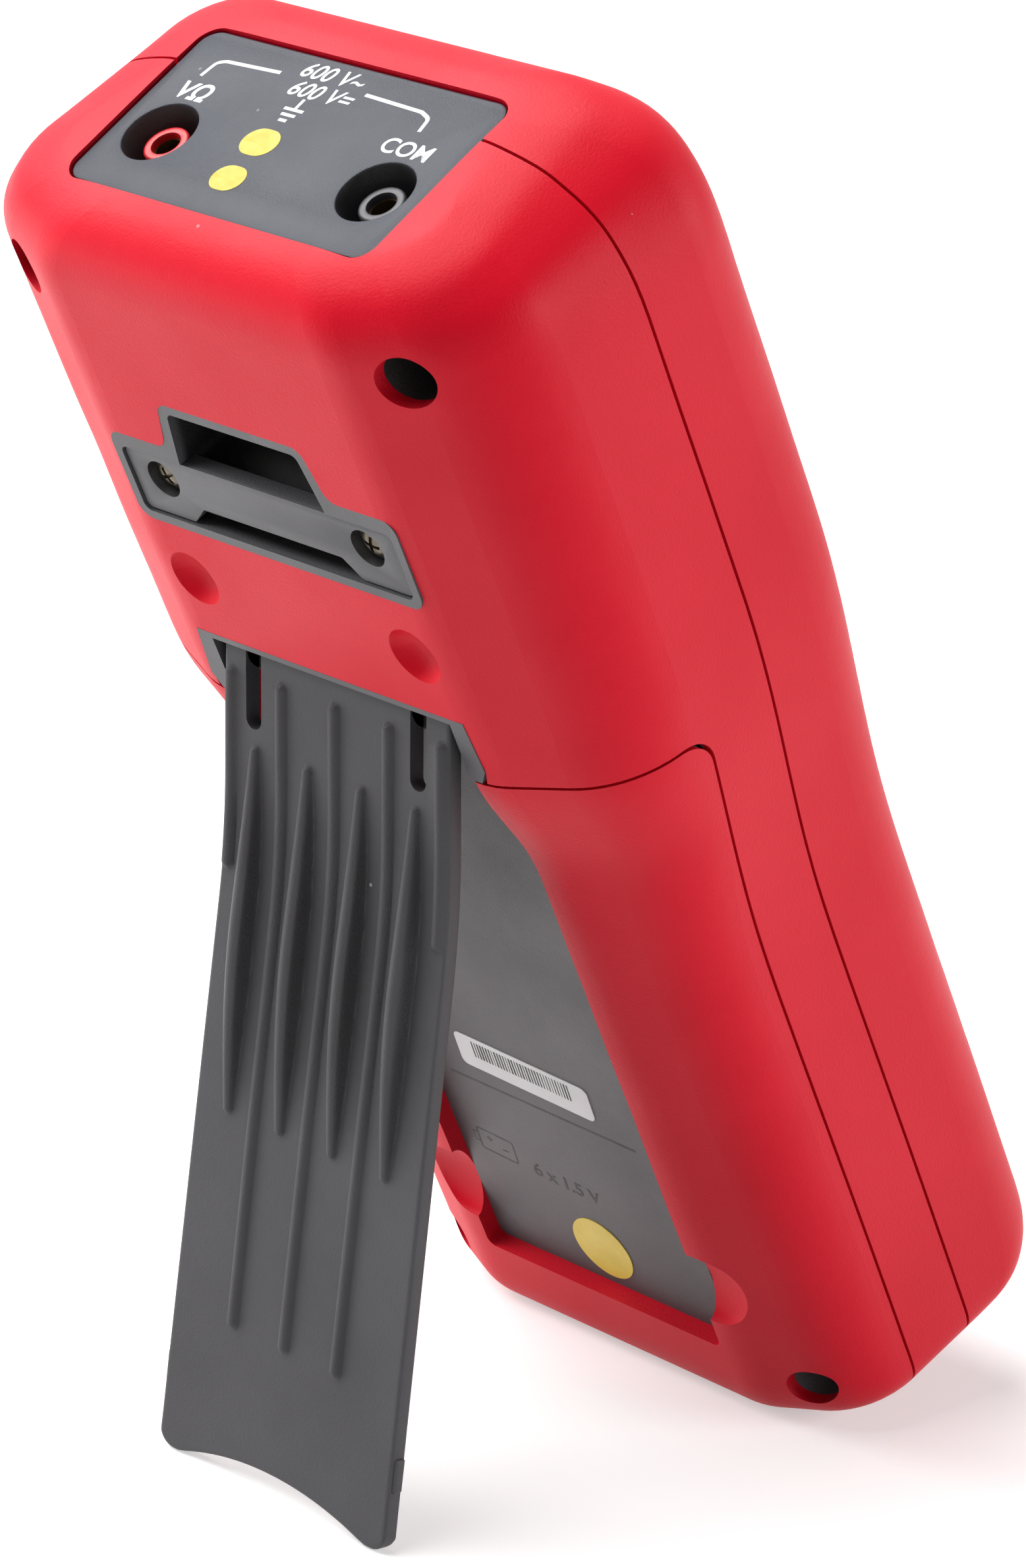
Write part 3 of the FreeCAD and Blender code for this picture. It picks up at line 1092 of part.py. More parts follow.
board = newBody("main_board")
boardSketch = newSketch(board, "XY_Plane", "Sizes.boardBack")
boardEdge = [("Sizes.boardGripHalf", "Sizes.boardLow"),
             ("Sizes.boardGripHalf", "Sizes.waistPlace + 6"),
             ("Sizes.boardHeadHalf", "Sizes.waistPlace + 20"),
             ("Sizes.boardHeadHalf", "Sizes.boardHigh")]
polygon(boardSketch, boardEdge + [("-" + x, y) for x, y in reversed(boardEdge)])
disc(boardSketch, "0", "Sizes.knobPlace", "Sizes.shaftRadius + 0.6")
for side in (1, -1):
    disc(boardSketch, "%d * (Sizes.boardHeadHalf - 5)" % side, "Sizes.lowerKeys + 2.5",
         "Sizes.screwShank + 0.25")
    disc(boardSketch, "%d * (Sizes.boardGripHalf - 5.5)" % side, "Sizes.testPlace + 14",
         "Sizes.screwShank + 0.25")
pad(board, boardSketch, "Sizes.boardThick")
keep("main_board", board)

# boxes on the rear side: node, then x, y, length, width, height of each
boxes = [
    ("transformer", [(-18, 156, 24, 20, 14)]),
    ("relays", [(-37, 148, 11, 20, 11), (-37, 170, 11, 20, 11)]),
    ("chips", [(-7, 92, 14, 14, 1.8), (14, 58, 10, 7, 1.8), (-24, 48, 10, 7, 1.8), (6, 126, 9, 9, 1.8)]),
    ("sense_resistors", [(-30, 100, 12, 4, 4), (-30, 107, 12, 4, 4), (-30, 114, 12, 4, 4)]),
]
for node, rows in boxes:
    made = [block(node + "_box", (long, broad, high), (x, y, "Sizes.boardBack - %s" % high))
            for x, y, long, broad, high in rows]
    keep(node, group(node, made))
# cans on the rear side: node, then x, y, radius, height of each
cans = [
    ("capacitors", [(18, 152, 5, 14), (18, 164, 5, 14), (30, 152, 4, 10)]),
    ("buzzer", [(22, 104, 6.5, 6)]),
]
for node, rows in cans:
    made = [rod(node + "_can", radius, high, (x, y, "Sizes.boardBack - %s" % high))
            for x, y, radius, high in rows]
    keep(node, group(node, made))
fuseX, fuseY, fuseRadius, fuseLong = 30, 162, 3.2, 32
fuseZ = "Sizes.boardBack - 4.8"
keep("fuse", group("fuse", [rod("fuse_tube", fuseRadius, fuseLong, (fuseX, fuseY, fuseZ), "y")]))
clips = []
for start in (fuseY + 2, fuseY + fuseLong - 7):
    holder = block("clip_block", ("8.4", "5", "8.5"), (fuseX - 4.2, start, "Sizes.boardBack - 8.5"))
    clipHole = rod("clip_hole", fuseRadius + 0.02, 7, (fuseX, start - 1, fuseZ), "y")
    clips.append(carve("fuse_clip", holder, [clipHole]))
keep("fuse_clips", group("fuse_clips", clips))

# --- battery bay ---

cellBody = "Sizes.cellLength - Sizes.cellNubHigh"
for number in range(6):
    column, row = number % 3 - 1, number // 3
    x = "%d * Sizes.cellPitch" % column
    foot = "Sizes.bayLow + Sizes.contactLong + %d * Sizes.cellLength" % row
    nubUp = column != 0
    can = rod("cell_can", "Sizes.cellRadius", cellBody,
              (x, foot if nubUp else foot + " + Sizes.cellNubHigh", "Sizes.cellDepth"), "y")
    nub = rod("cell_nub", "Sizes.cellNub", "Sizes.cellNubHigh",
              (x, "%s + %s" % (foot, cellBody) if nubUp else foot, "Sizes.cellDepth"), "y")
    name = "cell_%d" % (number + 1)
    keep(name, join(name, [can, nub]))
springs = []
for column in (-1, 0, 1):
    x = "%d * Sizes.cellPitch" % column
    for wallY, bumpY in (("Sizes.bayLow", "Sizes.bayLow + Sizes.contactThick / 2"),
                         ("Sizes.bayHigh - Sizes.contactThick", "Sizes.bayHigh - Sizes.contactLong")):
        sheetPart = block("contact_plate", ("9", "Sizes.contactThick", "10"),
                          (x + " - 4.5", wallY, "Sizes.cellDepth - 5"))
        bump = rod("contact_bump", "2", "Sizes.contactHigh + Sizes.contactThick / 2",
                   (x, bumpY, "Sizes.cellDepth"), "y")
        springs.append(join("battery_contact", [sheetPart, bump]))
keep("battery_contacts", group("battery_contacts", springs))

# --- stickers in the stand's recess ---

stickerThick = 0.15
labelLong, labelTall, labelTurn = 27.4, 6.8, 3.0
label = block("label_sheet", (labelLong, labelTall, stickerThick),
              ("-11.4", "57.0", "Sizes.recessDepth - %s" % stickerThick))
label.Placement.Rotation = FreeCAD.Rotation(Vector(0, 0, 1), labelTurn)
keep("rating_label", group("rating_label", [label]))
keep("inspection_disc", group("inspection_disc", [
    rod("disc_sheet", 6.0, stickerThick, ("-0.4", "25.1", "Sizes.recessDepth - %s" % stickerThick))]))

# --- the meter leans back on its stand: the floor touches the lower corner and the stand's foot ---

footFolded = Vector(0, standTip, standFaceZ + standThick)
footOpen = swungOpen.multVec(footFolded)
cornerY = size("bottomBack")
cornerZ = size("gripBack") + size("bottomBack")
awayY, awayZ = footOpen.y - cornerY, cornerZ - footOpen.z
leanAngle = math.degrees(math.acos(-cornerY / math.hypot(awayY, awayZ)) - math.atan2(awayZ, awayY))
leanTurn = FreeCAD.Rotation(Vector(1, 0, 0), 90 - leanAngle)
doc.recompute()


def leanAll(shift):
    lean = FreeCAD.Placement(shift, leanTurn)
    for item, own in nodes:
        item.Placement = lean.multiply(own)


leanAll(Vector(0, 0, 0))
whole = FreeCAD.BoundBox()
for item, own in nodes:
    if item.Label.endswith("overmould") or item.Label in ("tilt_stand", "selector_knob"):
        whole.add(item.Shape.optimalBoundingBox(False, False))
leanAll(Vector(-whole.Center.x, -whole.Center.y, -whole.ZMin))
doc.recompute()

for item in doc.Objects:
    if "Invalid" in item.State or "Error" in item.State:
        raise RuntimeError("%s did not recompute: %s" % (item.Name, item.State))
os.makedirs("parts", exist_ok=True)
for item, own in nodes:
    if item.Shape.isNull() or not item.Shape.isValid() or not item.Shape.Solids:
        raise RuntimeError("%s has no valid solid" % item.Label)
    item.Shape.exportStep("parts/%s.step" % item.Label)
print("%d nodes exported, leaning %.2f degrees" % (len(nodes), leanAngle))
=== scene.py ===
import json
import math
import bpy
import bmesh
from mathutils import Matrix, Vector

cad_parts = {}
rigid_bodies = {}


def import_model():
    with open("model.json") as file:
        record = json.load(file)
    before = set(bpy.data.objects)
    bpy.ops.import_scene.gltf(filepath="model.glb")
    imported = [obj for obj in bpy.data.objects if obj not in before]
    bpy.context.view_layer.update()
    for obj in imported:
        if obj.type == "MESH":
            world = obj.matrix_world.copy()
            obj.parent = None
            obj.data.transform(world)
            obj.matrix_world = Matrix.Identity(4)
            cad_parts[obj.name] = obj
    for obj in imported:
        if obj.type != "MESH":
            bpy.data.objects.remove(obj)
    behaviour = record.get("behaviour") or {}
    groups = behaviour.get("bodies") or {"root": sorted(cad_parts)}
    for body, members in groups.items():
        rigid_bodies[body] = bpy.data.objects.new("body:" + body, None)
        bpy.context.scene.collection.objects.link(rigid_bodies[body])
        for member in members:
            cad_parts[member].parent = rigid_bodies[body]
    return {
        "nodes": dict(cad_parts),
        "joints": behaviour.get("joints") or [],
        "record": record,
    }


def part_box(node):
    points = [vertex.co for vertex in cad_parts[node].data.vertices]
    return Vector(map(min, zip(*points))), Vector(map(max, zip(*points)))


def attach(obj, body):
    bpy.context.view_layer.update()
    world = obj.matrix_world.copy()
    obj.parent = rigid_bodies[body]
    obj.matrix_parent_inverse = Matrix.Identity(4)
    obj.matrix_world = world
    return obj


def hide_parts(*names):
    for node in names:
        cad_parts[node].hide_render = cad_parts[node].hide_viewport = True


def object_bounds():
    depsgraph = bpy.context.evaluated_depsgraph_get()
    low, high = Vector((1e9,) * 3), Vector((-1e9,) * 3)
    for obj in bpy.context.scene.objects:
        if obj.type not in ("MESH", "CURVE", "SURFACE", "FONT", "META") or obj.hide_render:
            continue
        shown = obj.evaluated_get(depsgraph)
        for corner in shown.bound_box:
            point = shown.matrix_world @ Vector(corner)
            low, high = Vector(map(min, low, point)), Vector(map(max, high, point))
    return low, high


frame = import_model()
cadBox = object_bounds()
joints = {joint["name"]: joint for joint in frame["joints"]}
nodes = frame["nodes"]

# The meter's own frame, in millimetres: x across, y up its back, z from its back to its face.
meter = {"hingeAlong": 142.6, "hingeDeep": 4.5, "faceLevel": 55.7}
outward = Vector(joints["selector_turn"]["axis"]).normalized()
across = Vector((1, 0, 0))
along = outward.cross(across).normalized()
hingePoint = Vector(joints["stand_hinge"]["pos_m"])
corner = hingePoint - (along * meter["hingeAlong"] + outward * meter["hingeDeep"]) * 0.001
turned = Matrix((across, along, outward)).transposed().to_4x4()
toWorld = Matrix.Translation(corner) @ turned @ Matrix.Scale(0.001, 4)
fromWorld = toWorld.inverted()
unmoved = Matrix.Identity(4)
standOpen = -math.radians(joints["stand_hinge"]["range_deg"][0])
hingeLocal = Vector((0, meter["hingeAlong"], meter["hingeDeep"]))
swing = Matrix.Translation(hingeLocal) @ Matrix.Rotation(standOpen, 4, "X") @ Matrix.Translation(-hingeLocal)
scene = bpy.context.scene
scene.view_settings.view_transform = "Standard"


# Node tools: a node given as a value stands for its first output.
def fill(tree, inputs, values):
    for key, value in values.items():
        if isinstance(value, bpy.types.Node):
            value = value.outputs[0]
        if isinstance(value, bpy.types.NodeSocket):
            tree.links.new(value, inputs[key])
        else:
            inputs[key].default_value = value


def put(tree, kind, sockets=None, **settings):
    node = tree.nodes.new(kind)
    for key, value in settings.items():
        setattr(node, key, value)
    fill(tree, node.inputs, sockets or {})
    return node


def reckon(tree, operation, *terms, **settings):
    return put(tree, "ShaderNodeMath", dict(enumerate(terms)), operation=operation, **settings)


def remap(tree, value, source, target, **settings):
    ends = dict(zip(("From Min", "From Max", "To Min", "To Max"), (*source, *target)))
    return put(tree, "ShaderNodeMapRange", {"Value": value, **ends}, **settings)


def blend(tree, factor, first, second):
    return put(tree, "ShaderNodeMix", {"Factor": factor, "A": first, "B": second}, data_type="RGBA").outputs["Result"]


def xyz(tree, x=0.0, y=0.0, z=0.0):
    return put(tree, "ShaderNodeCombineXYZ", {0: x, 1: y, 2: z})


def newPaint(name):
    paint = bpy.data.materials.new(name)
    paint.use_nodes = True
    return paint, paint.node_tree, paint.node_tree.nodes["Principled BSDF"].inputs


# Camera, floor and light, in metres and watts
camera = {"place": (-0.5414, 0.5511, 0.3733), "aim": (0.0, 0.0031, 0.1007), "roll": 2.15, "lens": 129.11}


def setCamera():
    data = bpy.data.cameras.new("viewCamera")
    data.sensor_fit = "VERTICAL"
    data.sensor_height = 36
    data.lens = camera["lens"]
    data.clip_end = 50
    eye = bpy.data.objects.new("viewCamera", data)
    scene.collection.objects.link(eye)
    place, aim = Vector(camera["place"]), Vector(camera["aim"])
    turn = (aim - place).to_track_quat("-Z", "Y").to_matrix().to_4x4()
    eye.matrix_world = Matrix.Translation(place) @ turn @ Matrix.Rotation(math.radians(camera["roll"]), 4, "Z")
    scene.camera = eye


light = {
    "lamps": {
        "overheadLamp": {"place": (0.6, 0.38, 1.35), "wide": 1.8, "power": 43.0, "gloss": True},
        "leftLamp": {"place": (1.75, 0.72, 0.42), "wide": 0.7, "power": 21.5, "gloss": False},
        "rightLamp": {"place": (-1.35, -0.75, 0.5), "wide": 0.8, "power": 15.5, "gloss": True},
    },
    "aim": (0, 0, 0.1), "room": 0.08, "floor": 0.75, "floorHalf": 6.0,
    "lift": (0.45, 0.95), "liftFrom": (0.25, 1.6),  # the floor's own glow, near and far
}


def addLamp(name, spec):
    data = bpy.data.lights.new(name, "AREA")
    data.shape = "DISK"
    data.size = spec["wide"]
    data.energy = spec["power"]
    lamp = bpy.data.objects.new(name, data)
    lamp.visible_glossy = spec["gloss"]
    scene.collection.objects.link(lamp)
    place = Vector(spec["place"])
    turn = (Vector(light["aim"]) - place).to_track_quat("-Z", "Y").to_matrix().to_4x4()
    lamp.matrix_world = Matrix.Translation(place) @ turn


def seenRays(tree):
    rays = put(tree, "ShaderNodeLightPath").outputs
    clear = reckon(tree, "MAXIMUM", rays["Is Camera Ray"], rays["Is Transmission Ray"])
    return reckon(tree, "MAXIMUM", clear, rays["Is Glossy Ray"])


def setRoom():
    world = bpy.data.worlds.new("room")
    scene.world = world
    world.use_nodes = True
    tree = world.node_tree
    shade = remap(tree, seenRays(tree), (0, 1), (light["room"], 1))
    fill(tree, tree.nodes["Background"].inputs, {"Color": (1, 1, 1, 1), "Strength": shade})


def makeFloor():
    level, reach = cadBox[0][2], light["floorHalf"]
    mesh = bpy.data.meshes.new("floor")
    ring = [(-reach, -reach, level), (reach, -reach, level), (reach, reach, level), (-reach, reach, level)]
    mesh.from_pydata(ring, [], [(0, 1, 2, 3)])
    floor = bpy.data.objects.new("floor", mesh)
    scene.collection.objects.link(floor)
    paint, tree, shader = newPaint("paleFloor")
    place = put(tree, "ShaderNodeTexCoord").outputs["Object"]
    away = put(tree, "ShaderNodeVectorMath", {0: place}, operation="LENGTH").outputs["Value"]
    rise = remap(tree, away, light["liftFrom"], light["lift"], interpolation_type="SMOOTHSTEP")
    fill(tree, shader, {"Base Color": (light["floor"],) * 3 + (1,), "Roughness": 0.9, "Specular IOR Level": 0.1,
                        "Emission Color": (1, 1, 1, 1),
                        "Emission Strength": reckon(tree, "MULTIPLY", seenRays(tree), rise)})
    mesh.materials.append(paint)


setCamera()
for lampName, lampSpec in light["lamps"].items():
    addLamp(lampName, lampSpec)
setRoom()
makeFloor()
print("camera, light and floor set")


# An input of a group is given by its first value, or by its kind of socket.
def newGroup(kind, name, inputs, outputs):
    tree = bpy.data.node_groups.new(name, kind)
    for label, value in inputs.items():
        plain = "NodeSocketInt" if isinstance(value, int) else "NodeSocketFloat"
        made = tree.interface.new_socket(label, in_out="INPUT",
                                         socket_type=value if isinstance(value, str) else plain)
        if not isinstance(value, str):
            made.default_value = value
    for label, socket in outputs.items():
        tree.interface.new_socket(label, in_out="OUTPUT", socket_type=socket)
    return tree, put(tree, "NodeGroupInput").outputs, put(tree, "NodeGroupOutput").inputs


def makeMouldedGroup():
    tree, start, end = newGroup("ShaderNodeTree", "mouldedSurface", {
        "Position": "NodeSocketVector", "Grain Scale": 3000.0, "Patch Scale": 30.0, "Speck Scale": 120.0,
        "Speck Size": 0.032, "Speck Share": 0.12}, dict.fromkeys(("Grain", "Patches", "Specks"), "NodeSocketFloat"))
    place = start["Position"]
    grain = put(tree, "ShaderNodeTexNoise", {"Vector": place, "Scale": start["Grain Scale"], "Detail": 3.0,
                                             "Roughness": 0.6})
    patches = put(tree, "ShaderNodeTexNoise", {"Vector": place, "Scale": start["Patch Scale"], "Detail": 4.0,
                                               "Roughness": 0.55})
    cells = put(tree, "ShaderNodeTexVoronoi", {"Vector": place, "Scale": start["Speck Scale"]})
    near = reckon(tree, "LESS_THAN", cells.outputs["Distance"], start["Speck Size"])
    few = put(tree, "ShaderNodeSeparateColor", {0: cells.outputs["Color"]})
    chosen = reckon(tree, "LESS_THAN", few, start["Speck Share"])
    fill(tree, end, {"Grain": grain, "Patches": remap(tree, patches, (0.3, 0.7), (0, 1)),
                     "Specks": reckon(tree, "MULTIPLY", near, chosen)})
    return tree


# Painted shade mask: 0 at the start depth below a level, 1 at the end depth.
def makeShadeDepthGroup():
    tree, start, end = newGroup("ShaderNodeTree", "paintedShadeDepth", {
        **dict.fromkeys(("Position", "Level", "Inward"), "NodeSocketVector"), "Start": 0.001, "End": 0.003},
        {"Mask": "NodeSocketFloat"})
    reach = put(tree, "ShaderNodeVectorMath", {0: start["Position"], 1: start["Level"]}, operation="SUBTRACT")
    depth = put(tree, "ShaderNodeVectorMath", {0: reach, 1: start["Inward"]}, operation="DOT_PRODUCT")
    fill(tree, end, {"Mask": remap(tree, depth.outputs["Value"], (start["Start"], start["End"]), (0, 1))})
    return tree


mouldedGroup = makeMouldedGroup()
shadeDepthGroup = makeShadeDepthGroup()

# Colour and its second shade, roughness low to high, grain and patches in marks per metre, depth of the grain in
# metres. "glance" is the shine seen edge on, "shadeFrom" the depths in the case over which a shell is painted black
# as painted shade.
printed = {"grain": 3500, "depth": 0.00002, "patch": 500}
finishes = {
    "redSkin": {"colour": (0.64, 0.004, 0.02), "second": (0.58, 0.003, 0.016), "rough": (0.42, 0.52),
                "shine": 0.1, "glance": 0.24, "grain": 2600, "depth": 0.00007, "patch": 28, "specks": 0.3},
    "greyShell": {"colour": (0.078, 0.077, 0.082), "second": (0.066, 0.065, 0.07), "rough": (0.42, 0.52),
                  "grain": 3200, "depth": 0.00008, "patch": 45, "specks": 0.3},
    "greyStand": {"colour": (0.062, 0.061, 0.065), "second": (0.053, 0.052, 0.055), "rough": (0.46, 0.56),
                  "shine": 0.25, "grain": 2600, "depth": 0.00009, "patch": 40, "specks": 0.5},
    "slatePanel": {"colour": (0.052, 0.057, 0.07), "second": (0.044, 0.048, 0.06), "rough": (0.38, 0.48),
                   "shine": 0.25, "grain": 3400, "depth": 0.00008, "patch": 50, "specks": 0.25},
    "blackPlasticAndShade": {"colour": (0.012, 0.011, 0.011), "second": (0.016, 0.015, 0.015), "rough": (0.4, 0.55),
                     "grain": 2500, "depth": 0.00004, "patch": 60},
    "redSleeve": {"colour": (0.58, 0.014, 0.02), "second": (0.5, 0.01, 0.016), "rough": (0.32, 0.42),
                  "grain": 2800, "depth": 0.00003, "patch": 80},
    "blackSleeve": {"colour": (0.05, 0.05, 0.056), "second": (0.04, 0.04, 0.046), "rough": (0.34, 0.44),
                    "grain": 2800, "depth": 0.00003, "patch": 80},
    "steel": {"colour": (0.17, 0.15, 0.11), "second": (0.08, 0.07, 0.05), "rough": (0.28, 0.5), "metal": 1.0,
              "grain": 1800, "depth": 0.00003, "patch": 420},
    "oldBrass": {"colour": (0.15, 0.11, 0.055), "second": (0.1, 0.07, 0.035), "rough": (0.35, 0.5),
                 "metal": 1.0, "grain": 1800, "depth": 0.00002, "patch": 300},
    "brass": {"colour": (0.62, 0.45, 0.2), "second": (0.42, 0.3, 0.13), "rough": (0.25, 0.42), "metal": 1.0,
              "grain": 1800, "depth": 0.00002, "patch": 300},
    "displayGrey": {"colour": (0.36, 0.4, 0.33), "second": (0.33, 0.37, 0.3), "rough": (0.2, 0.28),
                    "grain": 5000, "depth": 0.00001, "patch": 25},
    "keyGrey": {"colour": (0.34, 0.35, 0.36), "second": (0.3, 0.31, 0.32), "rough": (0.45, 0.55), "grain": 2800,
                "depth": 0.00004, "patch": 70, "specks": 0.3},
    "keyYellow": {"colour": (0.78, 0.52, 0.03), "second": (0.7, 0.45, 0.025), "rough": (0.42, 0.52),
                  "grain": 2800, "depth": 0.00004, "patch": 70, "specks": 0.3},
    "matRubber": {"colour": (0.11, 0.11, 0.12), "second": (0.09, 0.09, 0.1), "rough": (0.65, 0.8),
                  "grain": 2200, "depth": 0.00005, "patch": 60, "specks": 0.3},
    "boardGreen": {"colour": (0.012, 0.11, 0.035), "second": (0.02, 0.16, 0.05), "rough": (0.28, 0.4),
                   "grain": 900, "depth": 0.00006, "patch": 160, "specks": 0.6},
    "coreIron": {"colour": (0.1, 0.085, 0.07), "second": (0.16, 0.12, 0.09), "rough": (0.5, 0.7), "metal": 0.5,
                 "grain": 1500, "depth": 0.00008, "patch": 140},
    "canMetal": {"colour": (0.55, 0.56, 0.58), "second": (0.42, 0.43, 0.45), "rough": (0.25, 0.4), "metal": 0.9,
                 "grain": 1500, "depth": 0.00002, "patch": 120},
    "cellWrap": {"colour": (0.02, 0.045, 0.14), "second": (0.015, 0.035, 0.11), "rough": (0.2, 0.3),
                 "grain": 1200, "depth": 0.00002, "patch": 60},
    "labelWhite": {"colour": (0.74, 0.74, 0.75), "second": (0.69, 0.69, 0.7), "rough": (0.3, 0.42),
                   "grain": 1800, "depth": 0.00003, "patch": 110},
    "discYellow": {"colour": (0.8, 0.62, 0.1), "second": (0.72, 0.55, 0.08), "rough": (0.3, 0.45), "grain": 900,
                   "depth": 0.00006, "patch": 200},
    "fuseCeramic": {"colour": (0.66, 0.64, 0.58), "second": (0.58, 0.56, 0.5), "rough": (0.4, 0.55),
                    "grain": 2200, "depth": 0.00003, "patch": 130},
    "printWhite": {"colour": (0.78, 0.79, 0.8), "second": (0.7, 0.71, 0.73), "rough": (0.45, 0.6), **printed},
    "printYellow": {"colour": (0.6, 0.46, 0.03), "second": (0.52, 0.4, 0.03), "rough": (0.4, 0.55), **printed},
    "printDark": {"colour": (0.012, 0.012, 0.013), "second": (0.02, 0.02, 0.021), "rough": (0.45, 0.6),
                  **printed},
}
# Rear shell: greyShell with painted shade, going black with depth into the case where its channels and slots lie in
# shadow.
finishes["rearShellPaintedShade"] = {**finishes["greyShell"], "shadeFrom": (0.0008, 0.0020)}

lintColour = (0.62, 0.58, 0.56)
glanceFrom = (0.12, 0.36)  # where the edge-on shine begins and is full, as Layer Weight's Facing


def makeFinish(name):
    spec = finishes[name]
    paint, tree, shader = newPaint(name)
    place = put(tree, "ShaderNodeTexCoord").outputs["Object"]
    surface = put(tree, "ShaderNodeGroup", {"Position": place, "Grain Scale": spec["grain"],
                                            "Patch Scale": spec["patch"]}, node_tree=mouldedGroup).outputs
    colour = blend(tree, surface["Patches"], spec["colour"] + (1,), spec["second"] + (1,))
    if "specks" in spec:
        amount = reckon(tree, "MULTIPLY", surface["Specks"], spec["specks"])
        colour = blend(tree, amount, colour, lintColour + (1,))
    # Painted shade: the colour blends to black with depth into the case.
    if "shadeFrom" in spec:
        first, last = spec["shadeFrom"]
        below = put(tree, "ShaderNodeGroup", {"Position": place, "Level": corner, "Inward": outward, "Start": first,
                                              "End": last}, node_tree=shadeDepthGroup)
        colour = blend(tree, below, colour, finishes["blackPlasticAndShade"]["colour"] + (1,))
    bump = put(tree, "ShaderNodeBump", {"Height": surface["Grain"], "Strength": 1.0, "Distance": spec["depth"]})
    shine = spec.get("shine", 0.5)
    fill(tree, shader, {"Metallic": spec.get("metal", 0.0), "Specular IOR Level": shine, "Base Color": colour,
                        "Roughness": remap(tree, surface["Patches"], (0, 1), spec["rough"]), "Normal": bump})
    if "glance" in spec:
        facing = put(tree, "ShaderNodeLayerWeight", {"Blend": 0.5}).outputs["Facing"]
        fill(tree, shader, {"Specular IOR Level": remap(tree, facing, glanceFrom, (shine, spec["glance"]))})
    return paint


clear = {"colour": (0.95, 0.96, 0.96), "second": (0.92, 0.94, 0.94), "rough": (0.02, 0.06), "index": 1.49,
         "grain": 500.0, "patch": 60.0}


def makeWindowGlass():
    paint, tree, shader = newPaint("windowClear")
    place = put(tree, "ShaderNodeTexCoord").outputs["Object"]
    patches = put(tree, "ShaderNodeGroup", {"Position": place, "Grain Scale": clear["grain"],
                                            "Patch Scale": clear["patch"]}, node_tree=mouldedGroup).outputs["Patches"]
    fill(tree, shader, {"Transmission Weight": 1.0, "IOR": clear["index"],
                        "Roughness": remap(tree, patches, (0, 1), clear["rough"]),
                        "Base Color": blend(tree, patches, clear["colour"] + (1,), clear["second"] + (1,))})
    return paint


paints = {name: makeFinish(name) for name in finishes}
paints["windowClear"] = makeWindowGlass()

finishOf = {
    "redSkin": "front_overmould rear_overmould battery_cover_overmould",
    "greyShell": "front_case battery_cover bracket_plate",
    "rearShellPaintedShade": "rear_case",
    "greyStand": "tilt_stand",
    "slatePanel": "jack_panel",
    "redSleeve": "socket_sleeve_red",
    "blackSleeve": "socket_sleeve_black",
    "oldBrass": "socket_barrel_red socket_barrel_black",
    "brass": "socket_straps threaded_inserts wiper_contacts battery_contacts",
    "steel": "bracket_screws case_screws cover_screws board_screws detent_spring knob_clip fuse_clips",
    "windowClear": "lcd_window",
    "displayGrey": "lcd_panel",
    "matRubber": "keypad_mat lcd_connectors",
    "keyGrey": "key_1 key_2 key_3 key_4 key_5 key_6",
    "keyYellow": "test_button",
    "blackPlasticAndShade": "selector_knob rotor_disc lcd_frame relays chips buzzer",
    "boardGreen": "main_board",
    "coreIron": "transformer sense_resistors",
    "canMetal": "capacitors",
    "cellWrap": "cell_1 cell_2 cell_3 cell_4 cell_5 cell_6",
    "labelWhite": "rating_label",
    "discYellow": "inspection_disc",
    "fuseCeramic": "fuse",
}
for finish, names in finishOf.items():
    for name in names.split():
        for slot in nodes[name].material_slots:
            slot.material = paints[finish]
print("finishes set:", len(paints))


# Tools for the pieces
def newPiece(name, mesh, body, replaced=()):
    piece = bpy.data.objects.new(name, mesh)
    mesh.name = name
    scene.collection.objects.link(piece)
    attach(piece, body)
    if replaced:
        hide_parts(*replaced)
    return piece


def settle(mesh, angle=35, place=toWorld):
    mesh.transform(place)
    mesh.shade_smooth()
    mesh.set_sharp_from_angle(angle=math.radians(angle))
    return mesh


def meshFrom(edit, name, finish):
    bmesh.ops.recalc_face_normals(edit, faces=edit.faces)
    mesh = bpy.data.meshes.new(name)
    edit.to_mesh(mesh)
    edit.free()
    mesh.materials.append(paints[finish])
    return mesh


def holderOf(data):
    holder = bpy.data.objects.new("holder", data)
    scene.collection.objects.link(holder)
    return holder


def evaluated(holder):
    bpy.context.view_layer.update()
    mesh = bpy.data.meshes.new_from_object(holder.evaluated_get(bpy.context.evaluated_depsgraph_get()))
    holder.modifiers.clear()
    old = holder.data
    bpy.data.objects.remove(holder)
    bpy.data.batch_remove([old])
    return mesh


def runTree(mesh, tree, values):
    holder = holderOf(mesh)
    step = holder.modifiers.new(tree.name, "NODES")
    step.node_group = tree
    keys = {item.name: item.identifier for item in tree.interface.items_tree if item.in_out == "INPUT"}
    for label, value in values.items():
        step[keys[label]] = value
    return evaluated(holder)


def newShape(name, inputs):
    shape = {"Geometry": "NodeSocketGeometry"}
    return newGroup("GeometryNodeTree", name, {**shape, **inputs}, shape)


def finishShape(tree, end, geometry, paint):
    real = put(tree, "GeometryNodeRealizeInstances", {0: geometry})
    fill(tree, end, {"Geometry": put(tree, "GeometryNodeSetMaterial", {"Geometry": real, "Material": paint})})
    return tree


def softened(node, finish, width, turn=40):
    edit = bmesh.new()
    edit.from_mesh(nodes[node].data)
    bmesh.ops.remove_doubles(edit, verts=edit.verts, dist=1e-6)
    bmesh.ops.dissolve_limit(edit, angle_limit=math.radians(0.6), verts=edit.verts, edges=edit.edges)
    mesh = bpy.data.meshes.new(node)
    edit.to_mesh(mesh)
    edit.free()
    holder = holderOf(mesh)
    bevel = holder.modifiers.new("softEdge", "BEVEL")
    bevel.width = width * 0.001
    bevel.segments = 2
    bevel.limit_method = "ANGLE"
    bevel.angle_limit = math.radians(turn)
    mesh = evaluated(holder)
    mesh.materials.clear()
    mesh.materials.append(paints[finish])
    return settle(mesh, 30, unmoved)


